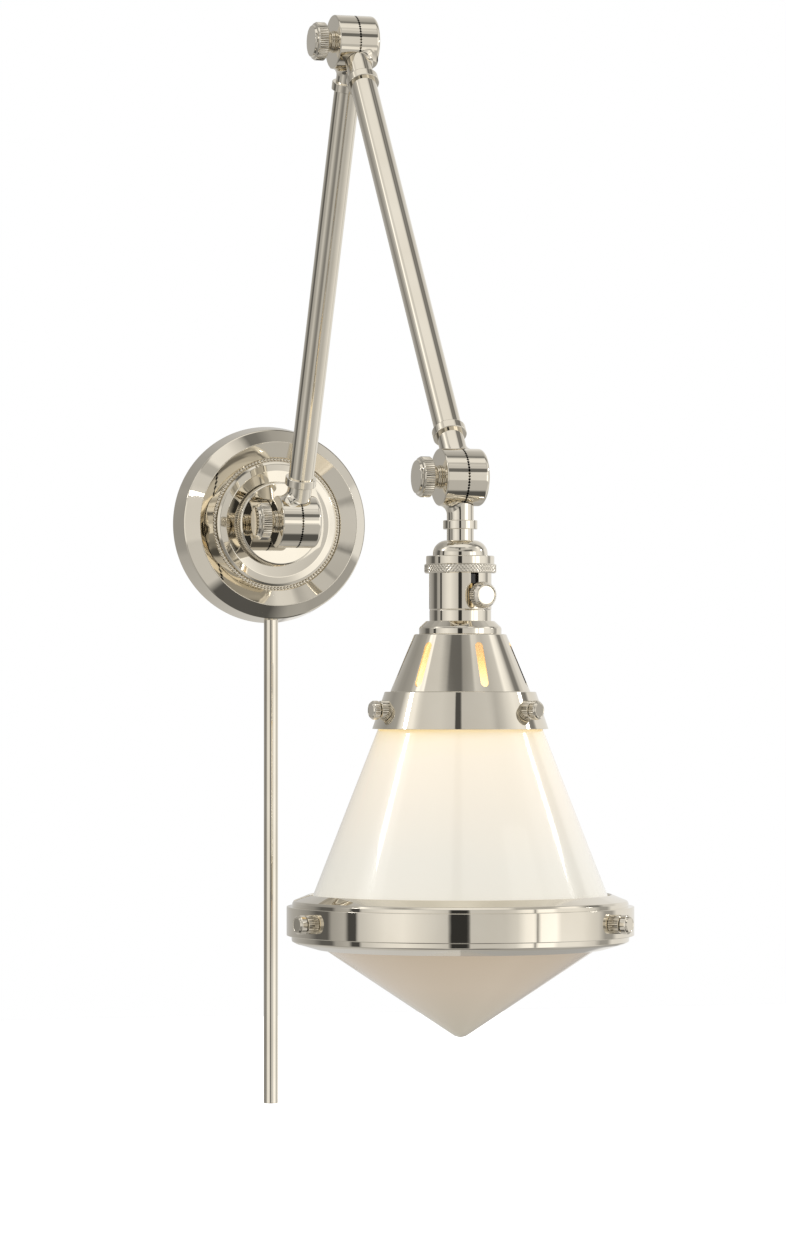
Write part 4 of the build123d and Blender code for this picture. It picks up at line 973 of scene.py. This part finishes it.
def keep_nodes():
    """Material of every CAD node; the inner pieces listed here keep their CAD shape."""
    kept = {
        "crossbar": "zinc", "plate_nut": "zinc", "crossbar_nut": "zinc", "cord_cover_flange": "zinc",
        "ground_screw": "green", "lower_arm_wires": "pvc", "forearm_wires": "pvc",
        "socket_wires": "pvc", "socket_liner": "fibre", "socket_body": "phenolic",
        "switch_bushing": "phenolic", "screw_shell": "brass", "centre_contact": "brass",
        "bulb_base": "brass", "gasket": "rubber", "bulb_glass": "bulb",
    }
    for node in frame["nodes"].values():
        key = kept.get(node.name, "nickel")
        node.data.materials.clear()
        node.data.materials.append(MATERIALS[key])


# ------------------------------------------------------------ stage, light and camera


def floor():
    """Plain pale floor, well below the sconce."""
    size = 6.0
    height = cad_low[2] - 0.35
    mesh = bpy.data.meshes.new("floor")
    mesh.from_pydata(
        [(-size, -size, height), (size, -size, height), (size, size, height), (-size, size, height)],
        [], [(0, 1, 2, 3)],
    )
    piece = bpy.data.objects.new("floor", mesh)
    bpy.context.collection.objects.link(piece)
    m = Nodes("pale_floor")
    m.link(m.ramp(m.noise(3.0), [(0.3, (0.95, 0.95, 0.945)), (0.7, (0.97, 0.97, 0.965))]),
           m.shader.inputs["Base Color"])
    m.set(Roughness=0.9, Emission_Color=(1.0, 1.0, 1.0, 1.0), Emission_Strength=0.72)
    mesh.materials.append(m.material)
    piece.visible_glossy = False
    piece.visible_diffuse = False


def studio():
    """Studio surround for the reflections, with a plain white background behind.

    Directions up to moderately steep follow profiles round the camera's side: pale
    diffusers with dark gaps. Near vertical, they shade from the front to the back.
    """
    world = bpy.data.worlds.new("studio")
    bpy.context.scene.world = world
    world.use_nodes = True
    tree = world.node_tree
    tree.nodes.clear()

    def add(kind, **settings):
        node = tree.nodes.new(kind)
        for key, value in settings.items():
            setattr(node, key, value)
        return node

    def ramp(source, low, high, stops):
        """Grey ramp whose stops are given in the source's own range."""
        node = add("ShaderNodeValToRGB")
        elements = node.color_ramp.elements
        while len(elements) < len(stops):
            elements.new(0.5)
        for element, (position, value) in zip(elements, stops):
            element.position = (position - low) / (high - low)
            element.color = (value, value, value, 1.0)
        share = add("ShaderNodeMapRange")
        share.inputs["From Min"].default_value = low
        share.inputs["From Max"].default_value = high
        tree.links.new(source, share.inputs["Value"])
        tree.links.new(share.outputs["Result"], node.inputs["Fac"])
        return node.outputs["Color"]

    def blend(mask, first, second):
        node = add("ShaderNodeMix", data_type="RGBA")
        tree.links.new(mask, node.inputs["Factor"])
        tree.links.new(first, node.inputs["A"])
        tree.links.new(second, node.inputs["B"])
        return node.outputs["Result"]

    place = add("ShaderNodeTexCoord").outputs["Generated"]
    spin = add("ShaderNodeVectorRotate", rotation_type="Z_AXIS")
    spin.inputs["Angle"].default_value = math.radians(-CAMERA_TURN)
    tree.links.new(place, spin.inputs["Vector"])
    split = add("ShaderNodeSeparateXYZ")
    tree.links.new(spin.outputs["Vector"], split.inputs["Vector"])
    front = add("ShaderNodeMath", operation="MULTIPLY")
    front.inputs[1].default_value = -1.0
    tree.links.new(split.outputs["Y"], front.inputs[0])
    turn = add("ShaderNodeMath", operation="ARCTAN2")
    tree.links.new(split.outputs["X"], turn.inputs[0])
    tree.links.new(front.outputs["Value"], turn.inputs[1])
    degrees = add("ShaderNodeMath", operation="MULTIPLY")
    degrees.inputs[1].default_value = 180 / math.pi
    tree.links.new(turn.outputs["Value"], degrees.inputs[0])

    # brightness round the camera's side, in degrees from the camera towards its right
    level = ramp(degrees.outputs["Value"], -180, 180, [
        (-180, 0.62), (-135, 0.40), (-120, 0.30), (-110, 0.12), (-98, 0.12), (-94, 0.40),
        (-82, 0.50), (-79, 0.07), (-73, 0.07), (-71, 0.62), (-50, 0.92), (-38, 0.98), (-7.4, 0.62),
        (-6.8, 0.035), (5.5, 0.035), (6.3, 0.64), (30, 0.66), (38, 0.78), (44, 1.10), (50.5, 1.20),
        (51.2, 0.30), (53, 0.30), (53.7, 1.25), (66, 1.30), (70, 0.96), (88, 0.94), (104, 0.72),
        (111, 0.38), (120, 0.38), (126, 0.85),
    ])
    gap = ramp(degrees.outputs["Value"], -180, 180, [
        (-180, 0.62), (-150, 0.40), (-120, 0.34), (-100, 0.42), (-90, 1.10), (-74, 1.10),
        (-60, 0.70), (10, 0.50), (22, 0.18), (52, 0.16), (60, 0.56), (90, 1.00), (101, 0.95),
        (108, 0.60), (113, 0.24), (122, 0.22), (128, 0.65), (160, 0.80),
    ])
    rising = ramp(degrees.outputs["Value"], -180, 180, [
        (-180, 0.62), (-150, 0.40), (-120, 0.36), (-100, 0.42), (-91, 0.62), (-88, 1.35),
        (-82, 1.30), (-80, 1.15), (-73, 1.30), (-71, 0.70), (-30, 0.72), (-8.5, 0.62), (-7.5, 0.08),
        (1, 0.08), (2, 0.60), (44, 0.66), (60, 0.56), (84, 0.70), (90, 1.15), (101, 1.15),
        (104, 0.95), (108, 0.60), (113, 0.20), (122, 0.20), (127, 0.65), (150, 0.75),
    ])
    steep = ramp(degrees.outputs["Value"], -180, 180, [
        (-180, 0.60), (-130, 0.42), (-95, 0.50), (-82, 0.80), (-72, 0.75), (-60, 0.42),
        (-30, 0.36), (-24, 0.16), (2, 0.15), (6, 0.34), (26, 0.44), (31, 0.80), (44, 0.85),
        (52, 0.50), (90, 0.50), (104, 0.24), (120, 0.22), (128, 0.60), (160, 0.62),
    ])
    sinking = ramp(degrees.outputs["Value"], -180, 180, [
        (-180, 0.62), (-140, 0.50), (-110, 0.35), (-80, 0.44), (-61, 0.66), (-45, 0.40),
        (-30, 0.24), (-18, 0.28), (-8, 0.55), (4, 0.55), (14, 0.28), (24, 0.28), (34, 0.55),
        (60, 0.52), (90, 0.70), (118, 0.90), (126, 0.40), (150, 0.42),
    ])
    # near the top and the bottom they run from the back, -1, to the front, 1
    above = ramp(front.outputs["Value"], -1, 1, [
        (-1.0, 0.60), (-0.4, 0.52), (-0.2, 0.42), (-0.1, 0.22), (-0.03, 0.20), (0.03, 0.66),
        (0.12, 0.92), (0.5, 0.95), (1.0, 0.70),
    ])
    below = ramp(front.outputs["Value"], -1, 1, [
        (-1.0, 0.62), (-0.5, 0.50), (-0.25, 0.40), (-0.12, 0.10), (0.5, 0.10), (0.65, 0.24),
    ])
    # each profile takes over from the one before at its own share of the way up or down
    greys = level
    for profile, start, end in (
        (gap, 0.29, 0.33), (rising, 0.50, 0.55), (steep, 0.675, 0.705), (above, 0.79, 0.83),
        (sinking, -0.19, -0.25), (below, -0.76, -0.84),
    ):
        low, high = min(start, end), max(start, end)
        mask = ramp(split.outputs["Z"], -1, 1, [(low, float(start > end)), (high, float(end > start))])
        greys = blend(mask, greys, profile)
    surround = add("ShaderNodeBackground")
    surround.inputs["Strength"].default_value = 1.0
    warm = add("ShaderNodeMix", data_type="RGBA", blend_type="MULTIPLY")
    warm.inputs["Factor"].default_value = 1.0
    warm.inputs["B"].default_value = (1.0, 0.985, 0.955, 1.0)
    tree.links.new(greys, warm.inputs["A"])
    tree.links.new(warm.outputs["Result"], surround.inputs["Color"])
    backdrop = add("ShaderNodeBackground")
    backdrop.inputs["Color"].default_value = (1.0, 1.0, 1.0, 1.0)
    seen = add("ShaderNodeLightPath")
    chosen = add("ShaderNodeMixShader")
    tree.links.new(seen.outputs["Is Camera Ray"], chosen.inputs["Fac"])
    tree.links.new(surround.outputs["Background"], chosen.inputs[1])
    tree.links.new(backdrop.outputs["Background"], chosen.inputs[2])
    output = add("ShaderNodeOutputWorld")
    tree.links.new(chosen.outputs["Shader"], output.inputs["Surface"])


# The camera stands to the left of the wall's normal and a little below the backplate.
CAMERA_PLACE = Vector((-0.9726, -3.2500, -0.1119))
CAMERA_YAW = 18.1  # degrees from the wall's normal
CAMERA_PITCH = 0.79
FOCAL_TO_HEIGHT = 4.0258  # focal length over the picture's height
CAMERA_TURN = -18.9  # turn of the camera round the shade, from the front towards +X


def camera():
    data = bpy.data.cameras.new("camera")
    data.sensor_width = 36.0
    data.lens = FOCAL_TO_HEIGHT * data.sensor_width
    data.clip_end = 50.0
    eye = bpy.data.objects.new("camera", data)
    bpy.context.collection.objects.link(eye)
    eye.location = CAMERA_PLACE
    eye.rotation_euler = (math.radians(90 + CAMERA_PITCH), 0, math.radians(-CAMERA_YAW))
    bpy.context.scene.camera = eye


LIT_DEPTH = 0.2  # middle of the shade, down from its hinge, which the softboxes face
STREAK_DEPTH = 0.262  # lower part of the upper glass, which the strips face
STRIP_DISTANCE = 1.5
CARD_DISTANCE = 0.75


def seen_from_camera(turn, rise=0.0):
    """Direction at a turn from the camera's side towards its right, and a rise, in degrees."""
    angle = math.radians(CAMERA_TURN + turn)
    lift = math.radians(rise)
    flat = math.cos(lift)
    return Vector((math.sin(angle) * flat, -math.cos(angle) * flat, math.sin(lift)))


def panel_light(name, place, facing, wide, tall, power):
    """Rectangular light at a place, shining along facing."""
    light = bpy.data.lights.new(name, "AREA")
    light.shape = "RECTANGLE"
    light.size = wide
    light.size_y = tall
    light.energy = power
    lamp = bpy.data.objects.new(name, light)
    bpy.context.collection.objects.link(lamp)
    lamp.location = place
    lamp.rotation_euler = facing.to_track_quat("-Z", "Y").to_euler()
    return lamp


def softbox(name, turn, height, power):
    """Large soft light on the shade, unseen in reflections."""
    centre = SHADE + DOWN * LIT_DEPTH
    place = centre + seen_from_camera(turn) * 2.0 - DOWN * height
    lamp = panel_light(name, place, centre - place, 0.9, 1.2, power)
    lamp.visible_glossy = False


def strip_light(name, turn, rise):
    """Near light whose reflection is a streak on the glass, but misses the arms."""
    away = seen_from_camera(turn, rise)
    place = SHADE + DOWN * STREAK_DEPTH + away * STRIP_DISTANCE
    strip = panel_light(name, place, -away, 0.13, 0.15, 0.5)
    strip.visible_camera = False


def plate_card():
    """Near warm card, where the plate's flat middle mirrors the camera's view."""
    away = seen_from_camera(-2 * CAMERA_TURN)
    place = OUT * 0.0254 + DOWN * 0.015 + away * CARD_DISTANCE
    card = panel_light("plate_card", place, -away, 0.2, 0.15, 0.042)
    card.data.color = (1.0, 0.975, 0.92)
    card.visible_camera = False


keep_nodes()
hinges_and_arms()
backplate()
boss()
bead_ring()
swivel()
cord_cover()
socket()
turn_key()
canopy()
upper_glass()
ring()
lower_bowl()
thumbscrews()
floor()
studio()
camera()
softbox("left_softbox", -65, 0.6, 5.0)
softbox("right_softbox", 80, 0.8, 2.0)
strip_light("left_strip", -83, 33)
strip_light("right_strip", 105, 27)
plate_card()
bpy.context.scene.view_settings.view_transform = "Standard"
